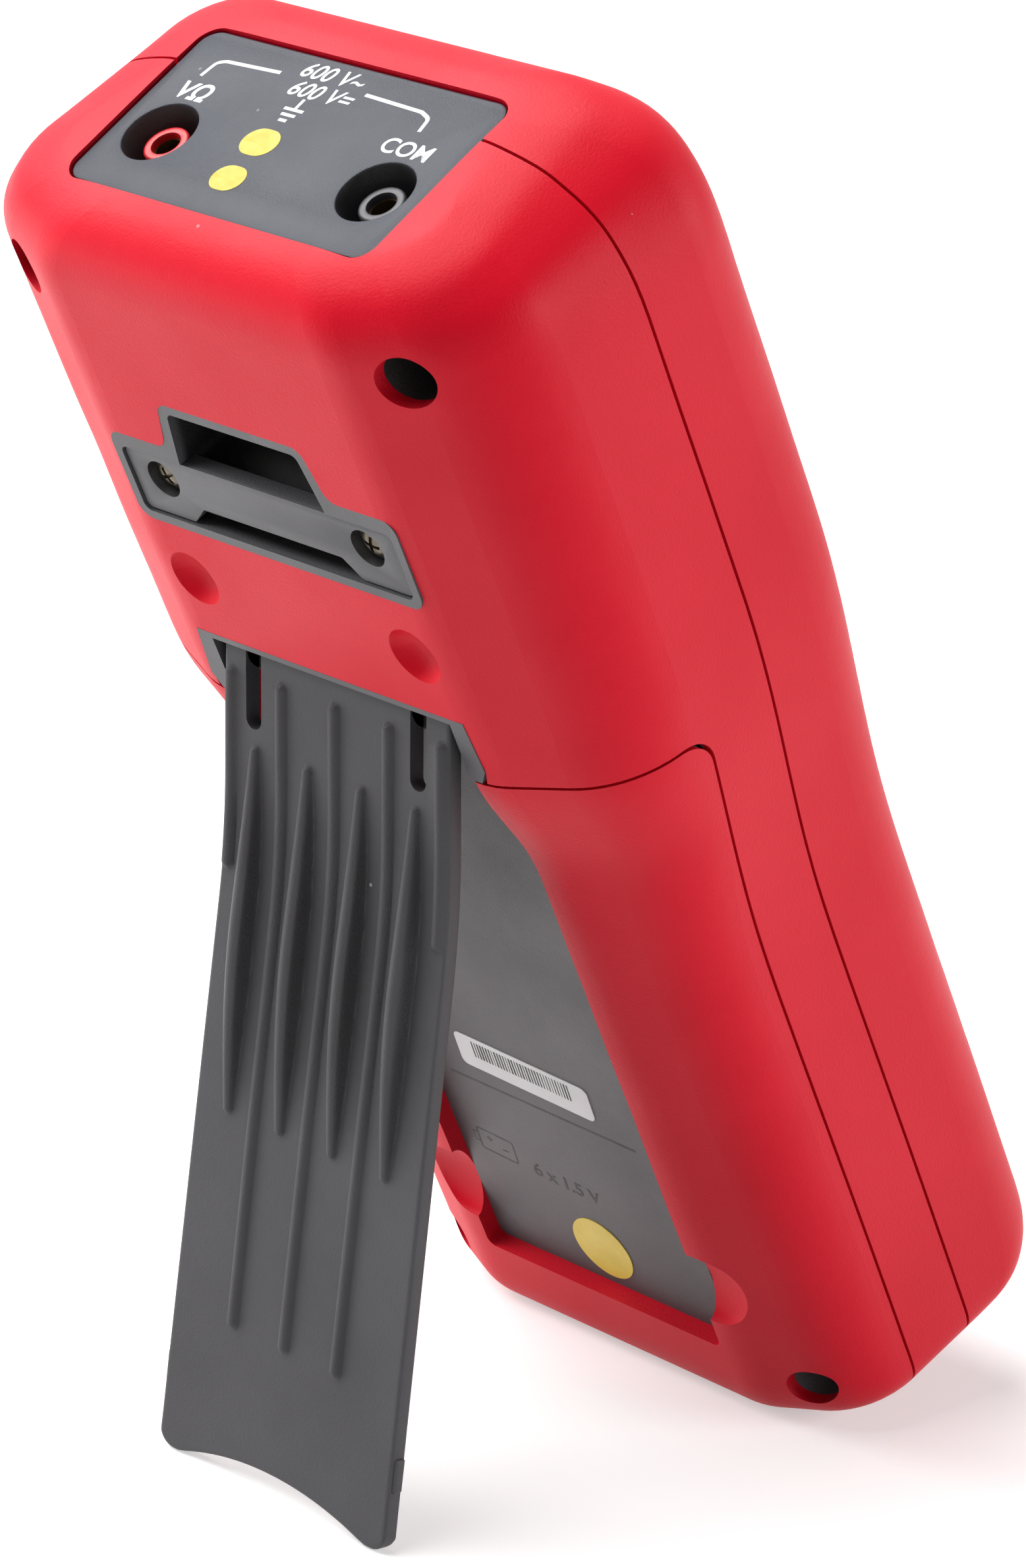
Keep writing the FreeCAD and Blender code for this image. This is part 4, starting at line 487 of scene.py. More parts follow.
def lathed(profile, finish, name, steps=64):
    edit = bmesh.new()
    rings = []
    for radius, depth in profile:
        turns = [2 * math.pi * k / steps for k in range(steps if radius > 1e-6 else 1)]
        rings.append([edit.verts.new((radius * math.cos(a), radius * math.sin(a), depth)) for a in turns])
    for low, high in zip(rings, rings[1:]):
        for k in range(steps):
            ring = [low[k % len(low)], low[(k + 1) % len(low)], high[(k + 1) % len(high)], high[k % len(high)]]
            edit.faces.new(list(dict.fromkeys(ring)))
    return meshFrom(edit, name, finish)


def joined(meshes, name):
    edit = bmesh.new()
    used = []
    for mesh in meshes:
        before = len(edit.faces)
        edit.from_mesh(mesh)
        edit.faces.ensure_lookup_table()
        for face in edit.faces[before:]:
            paint = mesh.materials[face.material_index]
            if paint not in used:
                used.append(paint)
            face.material_index = used.index(paint)
    made = bpy.data.meshes.new(name)
    edit.to_mesh(made)
    edit.free()
    for paint in used:
        made.materials.append(paint)
    return made


def plate(ring, low, high, paint, name="plate"):
    edit = bmesh.new()
    base = edit.faces.new([edit.verts.new((x, y, low)) for x, y in ring])
    lifted = bmesh.ops.extrude_face_region(edit, geom=[base])["geom"]
    bmesh.ops.translate(edit, vec=(0, 0, high - low), verts=[g for g in lifted if isinstance(g, bmesh.types.BMVert)])
    return meshFrom(edit, name, paint)


def softBlock(size, place, soft, segments, name, finish, topShare=1.0):
    edit = bmesh.new()
    bmesh.ops.create_cube(edit, size=1)
    bmesh.ops.scale(edit, vec=size, verts=edit.verts)
    for vert in edit.verts:
        if vert.co.z > 0:
            vert.co.x *= topShare
    bmesh.ops.translate(edit, vec=place, verts=edit.verts)
    bmesh.ops.bevel(edit, geom=list(edit.edges), offset=soft, segments=segments, affect="EDGES", profile=0.5)
    return meshFrom(edit, name, finish)


# Tilt stand: a bent leaf whose ridges follow one rule
stand = {
    "half": 23.0, "footHalf": 24.3, "long": 124.5, "thick": 2.6, "bend": 29.2, "bendSoft": 10.0,
    "faceAtHinge": 0.5, "faceBelow": 4.6, "arch": 3.4, "archShort": 4.5, "footCorner": 3.0, "edge": 0.5,
    "evenTo": 19.5, "rowStep": 1.3,
    "ribPitch": 11.0, "ribHalf": 1.25, "ribHigh": 1.0, "ribStart": 3.6, "ribEnd": 102.0, "sideEnd": 34.6,
    "finHalf": 1.45, "finTaper": 0.45, "finCrest": 0.75, "finLow": 0.7, "finHigh": 3.2, "finStart": 13.9,
    "finEnd": 70.9, "slotInner": 15.3, "slotWide": 3.2, "slotReach": 12.2, "slotAbove": 4, "slotFrom": -4,
    "slotDeep": 16, "barrel": 3.95, "barrelSoft": 0.25, "pin": 2, "pinSoft": (0.4, 0.35),
    "pinFrom": 22.5, "pinTo": 26.05,
    "nub": (1.6, 5.2, 1.7), "nubDown": 112.5, "nubSink": 0.32, "nubLevel": 5.95,
    "nubSoft": 0.35,
}


def makeRidgeGroup():
    tree, start, end = newGroup("GeometryNodeTree", "ridge", {
        "Across": 0.0, "Along": 0.0, "Start": 0.0, "End": 10.0, "Half Width": 1.0, "Low": 1.0, "High": 1.0,
        "Taper": 0.0, "Crest": 0.3, "Foot": 1.15, "Dome": 0.6}, {"Height": "NodeSocketFloat"})
    half, place = start["Half Width"], start["Along"]
    before = reckon(tree, "SUBTRACT", reckon(tree, "ADD", start["Start"], half), place)
    after = reckon(tree, "SUBTRACT", place, reckon(tree, "SUBTRACT", start["End"], half))
    beyond = reckon(tree, "MAXIMUM", reckon(tree, "MAXIMUM", before, after), 0.0)
    reach = put(tree, "ShaderNodeVectorMath", {0: xyz(tree, start["Across"], beyond)},
                operation="LENGTH").outputs["Value"]
    swell = reckon(tree, "SINE", remap(tree, place, (start["Start"], start["End"]), (0, math.pi)))
    high = remap(tree, swell, (0, 1), (start["Low"], start["High"]))
    slim = reckon(tree, "SUBTRACT", 1.0, start["Taper"])
    broad = reckon(tree, "MULTIPLY", half, remap(tree, swell, (0, 1), (slim, 1)))
    foot = reckon(tree, "MULTIPLY", broad, start["Foot"])
    crest = reckon(tree, "MULTIPLY", broad, start["Crest"])
    form = remap(tree, reach, (foot, crest), (0, 1), interpolation_type="SMOOTHSTEP")
    curve = reckon(tree, "POWER", reckon(tree, "DIVIDE", reach, broad), 2.0)
    curve = reckon(tree, "SUBTRACT", 1.0, curve, use_clamp=True)
    dome = reckon(tree, "MINIMUM", reckon(tree, "MULTIPLY", broad, start["Dome"]), high)
    wall = reckon(tree, "MULTIPLY", reckon(tree, "SUBTRACT", high, dome), form)
    fill(tree, end, {"Height": reckon(tree, "MULTIPLY_ADD", dome, curve, wall)})
    return tree


def makeStandTree():
    labels = {"Pitch": "ribPitch", "Rib Half": "ribHalf", "Rib High": "ribHigh", "Rib Start": "ribStart",
              "Rib End": "ribEnd", "Side End": "sideEnd", "Fin Half": "finHalf", "Fin Low": "finLow",
              "Fin High": "finHigh", "Fin Start": "finStart", "Fin End": "finEnd"}
    tree, start, end = newShape("standRidges", dict.fromkeys(labels, 1.0))
    ridge = makeRidgeGroup()
    place = put(tree, "ShaderNodeSeparateXYZ", {0: put(tree, "GeometryNodeInputPosition")}).outputs
    x, pitch = place["X"], start["Pitch"]
    down = reckon(tree, "SUBTRACT", meter["hingeAlong"], place["Y"])
    step = reckon(tree, "DIVIDE", x, pitch)

    def ridges(sideways, nearest, values, forms=None):
        given = dict(zip(("Start", "End", "Half Width", "Low", "High"), (start[label] for label in values)))
        offset = reckon(tree, "SUBTRACT", sideways, nearest)
        return put(tree, "GeometryNodeGroup", {"Across": offset, "Along": down, **given, **(forms or {})},
                   node_tree=ridge)

    whole = put(tree, "ShaderNodeClamp", {"Value": reckon(tree, "ROUND", step), "Min": -1.0, "Max": 1.0})
    ribs = ridges(x, reckon(tree, "MULTIPLY", whole, pitch),
                  ("Rib Start", "Rib End", "Rib Half", "Rib High", "Rib High"))
    under = put(tree, "ShaderNodeClamp", {"Value": reckon(tree, "FLOOR", step), "Min": -2.0, "Max": 1.0})
    fins = ridges(x, reckon(tree, "MULTIPLY", reckon(tree, "ADD", under, 0.5), pitch),
                  ("Fin Start", "Fin End", "Fin Half", "Fin Low", "Fin High"),
                  {"Taper": stand["finTaper"], "Crest": stand["finCrest"]})
    edge = remap(tree, down, (0, stand["long"]), (stand["half"], stand["footHalf"]), clamp=False)
    sides = ridges(reckon(tree, "ABSOLUTE", x), reckon(tree, "SUBTRACT", edge, stand["ribHalf"] * 1.25),
                   ("Rib Start", "Side End", "Rib Half", "Rib High", "Rib High"))
    top = reckon(tree, "MAXIMUM", reckon(tree, "MAXIMUM", ribs, fins), sides)
    outer = put(tree, "GeometryNodeInputNamedAttribute", {"Name": "outerFace"}, data_type="FLOAT")
    lower = reckon(tree, "MULTIPLY", reckon(tree, "MULTIPLY", top, outer), -1.0)
    moved = put(tree, "GeometryNodeSetPosition", {"Geometry": start["Geometry"], "Offset": xyz(tree, z=lower)})
    return finishShape(tree, end, moved, paints["greyStand"]), {label: stand[key] for label, key in labels.items()}


def leafFace(down):
    slope = (stand["faceBelow"] - stand["faceAtHinge"]) / stand["bend"]
    t = (down - stand["bend"]) / stand["bendSoft"]
    if t >= 1:
        return stand["faceBelow"]
    if t <= -1:
        return stand["faceAtHinge"] + slope * down
    return stand["faceBelow"] - slope * stand["bendSoft"] * (1 - t) ** 2 / 4


# Columns and rows lie closer together where the leaf's form changes.
def leafColumns():
    columns = set()
    for share in range(-3, 4):
        ridge = stand["finHalf"] if share % 2 else stand["ribHalf"]
        for part in (0, 0.14, 0.28, 0.42, 0.54, 0.64, 0.72, 0.79, 0.85, 0.91, 0.97, 1.03, 1.09, 1.15, 1.21, 1.4):
            for side in (-1, 1):
                columns.add(round(share * stand["ribPitch"] / 2 + side * part * ridge, 3))
    for k in range(-20, 21):
        if min(abs(k - c) for c in columns) > 0.7:
            columns.add(float(k))
    for depth in (0, 0.06, 0.2, 0.5, 0.75, 1.0, 1.25, 1.45, 1.65, 1.85, 2.05, 2.3, 2.6):
        columns |= {stand["half"] - depth, depth - stand["half"]}
    return sorted(columns)


def leafRows():
    tip, tipDepths = stand["long"], (0, 0.06, 0.2, 0.5, 1.2, 2.2, 3.4, 4.6, 6.0)
    rows = set(round(k * stand["rowStep"], 3) for k in range(-1, int((tip - tipDepths[-1]) / stand["rowStep"])))
    for key, inner in (("ribStart", 1), ("finStart", 1), ("finEnd", -1), ("sideEnd", -1), ("ribEnd", -1)):
        rows |= {round(stand[key] + inner * k * 0.25, 3) for k in range(-2, 8)}
    rows |= {tip - depth for depth in tipDepths}
    return sorted(rows), tip - tipDepths[-1]


def leafTip(x, half):
    flat, rise = half - stand["archShort"], 0.0
    radius = (flat ** 2 + stand["arch"] ** 2) / (2 * stand["arch"])
    if abs(x) < flat:
        rise = math.sqrt(radius ** 2 - x ** 2) - (radius - stand["arch"])
    reach = stand["footCorner"]
    over = max(0.0, abs(x) - (half - reach))
    return stand["long"] - rise - (reach - math.sqrt(max(reach ** 2 - over ** 2, 0.0)))


def leafPoint(x, down, hold, outerFace):
    half = stand["half"] + (stand["footHalf"] - stand["half"]) * max(down, 0) / stand["long"]
    even, edge = stand["evenTo"], stand["edge"]
    if abs(x) >= even:
        x = math.copysign(even + (abs(x) - even) * (half - even) / (stand["half"] - even), x)
    depth = down
    if down > hold:
        depth = hold + (down - hold) * (leafTip(x, stand["footHalf"]) - hold) / (stand["long"] - hold)
    inset, dip = min(half - abs(x), stand["long"] - down), 0.0
    if inset < edge:
        dip = edge - math.sqrt(max(edge ** 2 - (edge - inset) ** 2, 0))
    level = leafFace(depth) + (dip if outerFace else stand["thick"] - dip)
    return (x, meter["hingeAlong"] - depth, level), 1.0 if outerFace and dip < 0.4 * edge else 0.0


def makeLeaf():
    columns, (rows, hold) = leafColumns(), leafRows()
    edit = bmesh.new()
    mark = edit.verts.layers.float.new("outerFace")
    rims = []
    for outerFace in (True, False):
        grid = []
        for down in rows:
            grid.append([])
            for x in columns:
                place, marked = leafPoint(x, down, hold, outerFace)
                vert = edit.verts.new(place)
                vert[mark] = marked
                grid[-1].append(vert)
        for a, b in zip(grid, grid[1:]):
            for k in range(len(columns) - 1):
                edit.faces.new((a[k], a[k + 1], b[k + 1], b[k]))
        rims.append(grid[0] + [line[-1] for line in grid[1:-1]] + grid[-1][::-1]
                    + [line[0] for line in grid[-2:0:-1]])
    outer, inner = rims
    for k in range(len(outer)):
        following = (k + 1) % len(outer)
        edit.faces.new((outer[k], outer[following], inner[following], inner[k]))
    return runTree(meshFrom(edit, "leaf", "greyStand"), *makeStandTree())


def cutSlots(leaf):
    holder, cutters = holderOf(leaf), []
    radius, top = stand["slotWide"] / 2, meter["hingeAlong"] + stand["slotAbove"]
    low = meter["hingeAlong"] - stand["slotReach"]
    for side in (-1, 1):
        middle = side * (stand["slotInner"] + radius)
        ring = [(middle + radius * math.cos(math.radians(a)), low + radius + radius * math.sin(math.radians(a)))
                for a in range(180, 361, 15)]
        ring += [(middle + radius, top), (middle - radius, top)]
        cutters.append(holderOf(plate(ring, stand["slotFrom"], stand["slotFrom"] + stand["slotDeep"], "greyStand")))
        cut = holder.modifiers.new("slot", "BOOLEAN")
        cut.operation = "DIFFERENCE"
        cut.solver = "MANIFOLD"
        cut.object = cutters[-1]
    leaf = evaluated(holder)
    for cutter in cutters:
        bpy.data.objects.remove(cutter)
    return leaf


def makeStand():
    pieces = [cutSlots(makeLeaf())]
    first, second, half = stand["slotInner"], stand["slotInner"] + stand["slotWide"], stand["half"]
    r, soft = stand["barrel"], stand["barrelSoft"]
    turnedPieces = [lathed([(0, low), (r - soft, low), (r, low + soft), (r, high - soft), (r - soft, high),
                            (0, high)], "greyStand", "barrel", 48)
                    for low, high in ((-half, -second), (-first, first), (second, half))]
    r, soft, low, high = (stand[key] for key in ("pin", "pinSoft", "pinFrom", "pinTo"))
    for side in (-1, 1):
        turnedPieces.append(lathed([(0, side * low), (r, side * low), (r, side * (high - soft[1])),
                                    (r - soft[0], side * high), (0, side * high)], "greyStand", "pin", 32))
    for mesh in turnedPieces:
        mesh.transform(Matrix.Translation(hingeLocal) @ Matrix.Rotation(math.pi / 2, 4, "Y"))
    widening = (stand["footHalf"] - half) * stand["nubDown"] / stand["long"]
    edge = half + widening - stand["nubSink"]
    nubs = [softBlock(stand["nub"], (side * edge, meter["hingeAlong"] - stand["nubDown"], stand["nubLevel"]),
                      stand["nubSoft"], 3, "nub", "greyStand") for side in (-1, 1)]
    whole = settle(joined(pieces + turnedPieces + nubs, "tiltStand"), 42, toWorld @ swing)
    newPiece("tiltStand", whole, "stand", ["tilt_stand"])


makeStand()
print("stand made")

# Flat frames for the prints: sideways, upwards and out of the surface, in millimetres
def flatFrame(origin, sideways, upwards, normal):
    turn = Matrix((sideways, upwards, normal)).transposed().to_4x4()
    return Matrix.Translation(origin) @ turn @ Matrix.Scale(0.001, 4)


socketAxis = Vector(next(m["axis"] for m in frame["record"]["mounts"] if m["name"] == "red_socket"))
panelReach = max(vert.co.dot(socketAxis) for vert in nodes["jack_panel"].data.vertices)
panelRise = (-across).cross(socketAxis) * -1
panelOrigin = corner + along * ((panelReach - corner.dot(socketAxis)) / along.dot(socketAxis))
panelFrame = flatFrame(panelOrigin, -across, panelRise, socketAxis)
recessFrame = flatFrame(corner + outward * 0.0075, -across, along, -outward)
faceFrame = flatFrame(corner + outward * meter["faceLevel"] * 0.001, across, along, outward)


def makeLineTree():
    tree, start, end = newShape("printedLines", {"Wide": 0.6, "Round": 0.5, "Rise": 0.04,
                                                 "Paint": "NodeSocketMaterial"})
    path = put(tree, "GeometryNodeMeshToCurve", {"Mesh": start["Geometry"]})
    rounded = put(tree, "GeometryNodeFilletCurve", {"Curve": path, "Count": 5, "Radius": start["Round"]}, mode="POLY")
    half = reckon(tree, "MULTIPLY", start["Wide"], 0.5)
    section = put(tree, "GeometryNodeCurvePrimitiveCircle", {"Resolution": 12, "Radius": half})
    tube = put(tree, "GeometryNodeCurveToMesh", {"Curve": rounded, "Profile Curve": section, "Fill Caps": True})
    press = xyz(tree, 1.0, 1.0, reckon(tree, "DIVIDE", start["Rise"], half))
    pressed = put(tree, "GeometryNodeTransform", {"Geometry": tube, "Scale": press})
    return finishShape(tree, end, pressed, start["Paint"])


lineTree = makeLineTree()


def printedLines(paths, wide, paint, rounding=0.0, rise=0.04):
    points, edges = [], []
    for path in paths:
        first = len(points)
        points += [(x, y, 0) for x, y in path]
        edges += [(first + k, first + k + 1) for k in range(len(path) - 1)]
    mesh = bpy.data.meshes.new("lines")
    mesh.from_pydata(points, edges, [])
    return runTree(mesh, lineTree, {"Wide": wide, "Round": rounding, "Rise": rise, "Paint": paints[paint]})


def lettering(text, high, place, paint, slant=0.0, bold=0.0, turn=0.0):
    data = bpy.data.curves.new("lettering", "FONT")
    data.body, data.size, data.shear, data.offset = text, high, slant, bold
    data.align_x, data.align_y, data.extrude = "CENTER", "CENTER", 0.03
    mesh = evaluated(holderOf(data))
    mesh.transform(Matrix.Translation((*place, 0)) @ Matrix.Rotation(turn, 4, "Z"))
    mesh.materials.clear()
    mesh.materials.append(paints[paint])
    return mesh


def roundRing(wide, tall, radius, centre=(0, 0), turn=0.0, steps=6):
    ring = []
    for sx, sy, first in ((1, 1, 0), (-1, 1, 90), (-1, -1, 180), (1, -1, 270)):
        for k in range(steps + 1):
            a = math.radians(first + 90 * k / steps)
            ring.append((sx * (wide / 2 - radius) + radius * math.cos(a),
                         sy * (tall / 2 - radius) + radius * math.sin(a)))
    c, s = math.cos(turn), math.sin(turn)
    return [(centre[0] + x * c - y * s, centre[1] + x * s + y * c) for x, y in ring]


# Painted shade: faces that pass the test get the black finish, standing in for shadow in hollows.
def paintShadeBlack(mesh, below):
    mesh.materials.append(paints["blackPlasticAndShade"])
    for face in mesh.polygons:
        if below(face.center):
            face.material_index = 1
    return mesh


# Socket end: panel, cups, sleeves and prints
sockets = {
    "edge": 0.35, "cupBelow": 0.45, "sleeve": 3.4, "lip": 2.15, "seat": 2.75, "tip": 2.1, "foot": 23.5,
    "bracketWide": 0.62, "bracketRound": 1.2, "earthWide": 0.55,
    "brackets": [[(-23.8, 32.8), (-23.3, 35.8), (-21.8, 36.4), (-11.4, 36.9)],
                 [(5.4, 36.9), (16.6, 36.5), (18.7, 35.7), (19.1, 33.1)]],
    "earth": [[(-5.3, 31.2), (-1.6, 31.2)], [(-4.9, 30.1), (-2.2, 30.1)], [(-4.4, 29.0), (-2.9, 29.0)],
              [(-3.4, 31.2), (-3.4, 33.4)]],
    # text, height, place, slant and added weight
    "words": [("VΩ", 4.5, (-22.4, 29.6), 0.2, 0.12), ("COM", 4.0, (20.0, 29.5), 0.0, 0.06),
              ("600 V~", 4.0, (-2.6, 38.5), 0.25, 0.05), ("600 V=", 4.0, (-1.8, 34.9), 0.25, 0.05)],
    "spots": [(6.4, 5.2, 2.6, (-3.7, 24.3)), (5.8, 4.8, 2.4, (-3.1, 17.0))],
}


def makeSleeve(node, finish, name):
    r, lip, seat, tip, foot = (sockets[key] for key in ("sleeve", "lip", "seat", "tip", "foot"))
    mesh = lathed([(seat, -foot), (r, -foot), (r, -tip - 0.35), (r - 0.12, -tip - 0.1), (r - 0.38, -tip),
                   (lip + 0.3, -tip), (lip + 0.08, -tip - 0.08), (lip, -tip - 0.3), (lip, -tip - 1.15),
                   (seat, -tip - 1.15), (seat, -foot)], finish, node)
    low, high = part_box(node)
    aim = panelFrame.inverted() @ ((low + high) / 2)
    mesh.transform(panelFrame @ Matrix.Translation((aim.x, aim.y, 0)))
    newPiece(name, settle(mesh, 50, unmoved), "case", [node])


def makeSocketEnd():
    cupLevel = panelReach - sockets["cupBelow"] * 0.001
    # Painted shade: the cups' walls below the panel top are painted black, standing in for their shadow.
    panel = paintShadeBlack(softened("jack_panel", "slatePanel", sockets["edge"]),
                   lambda place: place.dot(socketAxis) < cupLevel)
    newPiece("jackPanel", panel, "case", ["jack_panel"])
    makeSleeve("socket_sleeve_red", "redSleeve", "sleeveRed")
    makeSleeve("socket_sleeve_black", "blackSleeve", "sleeveBlack")
    prints = [printedLines(sockets["brackets"], sockets["bracketWide"], "printWhite", sockets["bracketRound"]),
              printedLines(sockets["earth"], sockets["earthWide"], "printWhite")]
    prints += [lettering(text, high, place, "printWhite", slant, bold)
               for text, high, place, slant, bold in sockets["words"]]
    prints += [plate(roundRing(*spot), -0.02, 0.04, "printYellow") for spot in sockets["spots"]]
    newPiece("socketPrints", settle(joined(prints, "socketPrints"), 35, panelFrame), "case")


makeSocketEnd()
print("socket end made")

# Screws: one tree makes each head, its cross and its shank
screws = {
    "bracket": {"places": [(20.64, 174.8), (-20.64, 174.8)], "seat": 2.2, "head": 2.45, "high": 1.15, "shank": 1.08,
                "long": 8.2},
    "case": {"places": [(37.9, 205.0), (-37.9, 205.0)], "seat": 20.0, "head": 2.85, "high": 1.7, "shank": 1.48,
             "long": 26.0},
    "cover": {"places": [(37.9, 11.2), (-37.9, 11.2)], "seat": 14.5, "head": 2.85, "high": 1.7, "shank": 1.48,
              "long": 12.7},
}
screwCut = {"seed": 4, "crossLong": 1.15, "crossWide": 0.24, "crossDeep": -0.95, "mostTurn": 1.6}


def makeScrewTree():
    tree, start, end = newShape("crossScrews", {"Head": 2.5, "High": 1.2, "Shank": 1.0, "Long": 8.0, "Seed": 4})
    head, high = start["Head"], start["High"]
    ball = put(tree, "GeometryNodeMeshUVSphere", {"Segments": 40, "Rings": 24, "Radius": 1.0})
    dome = put(tree, "GeometryNodeTransform", {"Geometry": ball, "Scale": xyz(tree, head, head, high)})
    under = put(tree, "GeometryNodeMeshCube", {"Size": (20.0, 20.0, 10.0)})
    cutters = put(tree, "GeometryNodeJoinGeometry", {
        0: put(tree, "GeometryNodeTransform", {"Geometry": under, "Translation": (0.0, 0.0, 5.0)})})
    wide, thin = (reckon(tree, "MULTIPLY", head, screwCut[key]) for key in ("crossLong", "crossWide"))
    down = reckon(tree, "MULTIPLY", high, screwCut["crossDeep"])
    for quarter in (0.0, math.pi / 2):
        slot = put(tree, "GeometryNodeMeshCube", {"Size": xyz(tree, wide, thin, high)})
        slot = put(tree, "GeometryNodeTransform", {"Geometry": slot, "Translation": xyz(tree, z=down),
                                                   "Rotation": (0.0, 0.0, quarter)})
        fill(tree, cutters.inputs, {0: slot})
    cut = put(tree, "GeometryNodeMeshBoolean", {"Mesh 1": dome, "Mesh 2": cutters, "Self Intersection": True},
              operation="DIFFERENCE", solver="EXACT")
    stem = put(tree, "GeometryNodeMeshCylinder", {"Vertices": 24, "Radius": start["Shank"], "Depth": start["Long"]})
    lower = xyz(tree, z=reckon(tree, "MULTIPLY", start["Long"], 0.5))
    whole = put(tree, "GeometryNodeJoinGeometry", {0: cut})
    fill(tree, whole.inputs, {0: put(tree, "GeometryNodeTransform", {"Geometry": stem, "Translation": lower})})
    turn = put(tree, "FunctionNodeRandomValue", {"Seed": start["Seed"], "Max": screwCut["mostTurn"]},
               data_type="FLOAT").outputs[1]
    spread = put(tree, "GeometryNodeInstanceOnPoints", {"Points": start["Geometry"], "Instance": whole,
                                                        "Rotation": xyz(tree, z=turn)})
    return finishShape(tree, end, spread, paints["steel"])


screwTree = makeScrewTree()
for name, spec in screws.items():
    mesh = bpy.data.meshes.new(name)
    mesh.from_pydata([(x, y, spec["seat"]) for x, y in spec["places"]], [], [])
    made = runTree(mesh, screwTree, {"Head": spec["head"], "High": spec["high"], "Shank": spec["shank"],
                                     "Long": spec["long"], "Seed": screwCut["seed"]})
    newPiece(name + "Screws", settle(made, 40), "case", [name + "_screws"])
print("screws made")

# Strap bracket plate, with painted shade (black) in its screw holes
strap = {"edge": 0.3, "holeBelow": 0.6, "holeRadius": 3.2}


def inScrewHole(place):
    place = fromWorld @ place
    near = min(math.hypot(place.x - x, place.y - y) for x, y in screws["bracket"]["places"])
    return place.z > strap["holeBelow"] and near < strap["holeRadius"]


strapPlate = paintShadeBlack(softened("bracket_plate", "greyShell", strap["edge"]), inScrewHole)
newPiece("strapPlate", strapPlate, "case", ["bracket_plate"])

# Recess: label, bars and engraved marks
label = {"wide": 27.6, "tall": 6.9, "thick": 0.12, "centre": (-2.4, 60.7), "turn": math.radians(3.0), "corner": 1.2,
         "bars": 34, "barTall": 3.3, "barFrom": (-10.2, 0.9), "barStep": 0.6, "barWide": (0.12, 0.4), "seed": 11}
engraved = {"turn": math.radians(-4), "rise": 0.03, "cell": (7.6, 4.6, 0.5, (-16.6, 40.0)),
            "nub": [(-20.6, 41.3), (-21.4, 41.3), (-21.3, 39.3), (-20.5, 39.3)],
            "rule": [(-20.7, 54.5), (18.1, 53.4)],
            "signs": [[(-18.6, 40.8), (-17.4, 40.8)], [(-18.0, 41.4), (-18.0, 40.2)], [(-15.6, 39.4), (-14.4, 39.4)]],
            "words": ("6 x 1.5 V", 3.8, (-2.6, 37.6))}


def makeBarTree():
    tree, start, end = newShape("labelBars", {"Count": 30, "Step": 0.6, "Tall": 3.0, "Seed": 1})
    line = put(tree, "GeometryNodeMeshLine", {"Count": start["Count"], "Offset": xyz(tree, start["Step"])})
    bar = put(tree, "GeometryNodeMeshCube", {"Size": (1.0, 1.0, 0.03)})
    least, most = label["barWide"]
    wide = put(tree, "FunctionNodeRandomValue", {"Seed": start["Seed"], "Min": least, "Max": most},
               data_type="FLOAT").outputs[1]
    bars = put(tree, "GeometryNodeInstanceOnPoints", {"Points": line, "Instance": bar,
                                                      "Scale": xyz(tree, wide, start["Tall"], 1.0)})
    return finishShape(tree, end, bars, paints["printDark"])


def makeLabel():
    base = plate(roundRing(label["wide"], label["tall"], label["corner"]), -0.02, label["thick"], "labelWhite")
    bars = runTree(bpy.data.meshes.new("barStart"), makeBarTree(), {
        "Count": label["bars"], "Step": label["barStep"], "Tall": label["barTall"], "Seed": label["seed"]})
    bars.transform(Matrix.Translation((*label["barFrom"], label["thick"])))
    mesh = joined([base, bars], "partLabel")
    mesh.transform(Matrix.Translation((*label["centre"], 0)) @ Matrix.Rotation(-label["turn"], 4, "Z"))
    newPiece("partLabel", settle(mesh, 35, recessFrame), "case", ["rating_label"])


def makeRecessMarks():
    turn, rise = engraved["turn"], engraved["rise"]
    cell = roundRing(*engraved["cell"], turn, 2)
    marks = [printedLines(paths, wide, "printDark", rise=rise) for paths, wide in (
        ([cell + cell[:1], engraved["nub"]], 0.45), ([engraved["rule"]], 0.6), (engraved["signs"], 0.4))]
    marks.append(lettering(*engraved["words"], "printDark", bold=0.05, turn=turn))
    newPiece("recessMarks", settle(joined(marks, "recessMarks"), 35, recessFrame), "case")


makeLabel()
makeRecessMarks()
print("recess marks made")

# Keys, each with its generic sign
keys = {"signs": "+-0123", "edge": 0.6, "testEdge": 0.4, "letter": 4.4, "letterLevel": 1.6}


def makeKeys():
    for number, text in enumerate(keys["signs"], 1):
        node = "key_%d" % number
        low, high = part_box(node)
        middle = fromWorld @ ((low + high) / 2)
        glyph = lettering(text, keys["letter"], (middle.x, middle.y), "printDark", bold=0.08)
        glyph.transform(faceFrame @ Matrix.Translation((0, 0, keys["letterLevel"])))
        cap = joined([softened(node, "keyGrey", keys["edge"]), settle(glyph, 35, unmoved)], "smallKey")
        newPiece("smallKey%d" % number, cap, "small_key_%d" % number, [node])
    cap = softened("test_button", "keyYellow", keys["testEdge"], 30)
    newPiece("testKey", cap, "test_key", ["test_button"])


# Selector knob with its grips, and the dial round it
knob = {"place": 71.0, "radius": 20.0, "deck": 2.3, "foot": -9.9, "stem": 5, "barWide": 10.5, "barLong": 37.0,
        "barHigh": 4.6, "barTop": 0.82, "barSoft": 1.0, "grips": 44, "gripRadius": 0.55, "gripIn": 0.75,
        "gripTall": 1.5, "gripLevel": 1.25, "pointer": (1.3, 13.0, 0.6, (0, 10.0))}
dial = {"places": ["OFF", "V", "50", "100", "250", "500", "1000", "Ω"], "step": 30, "letter": 3.2,
        "tickFrom": 21.2, "tickTo": 23.4, "tickWide": 0.5, "numberRadius": 27.6}


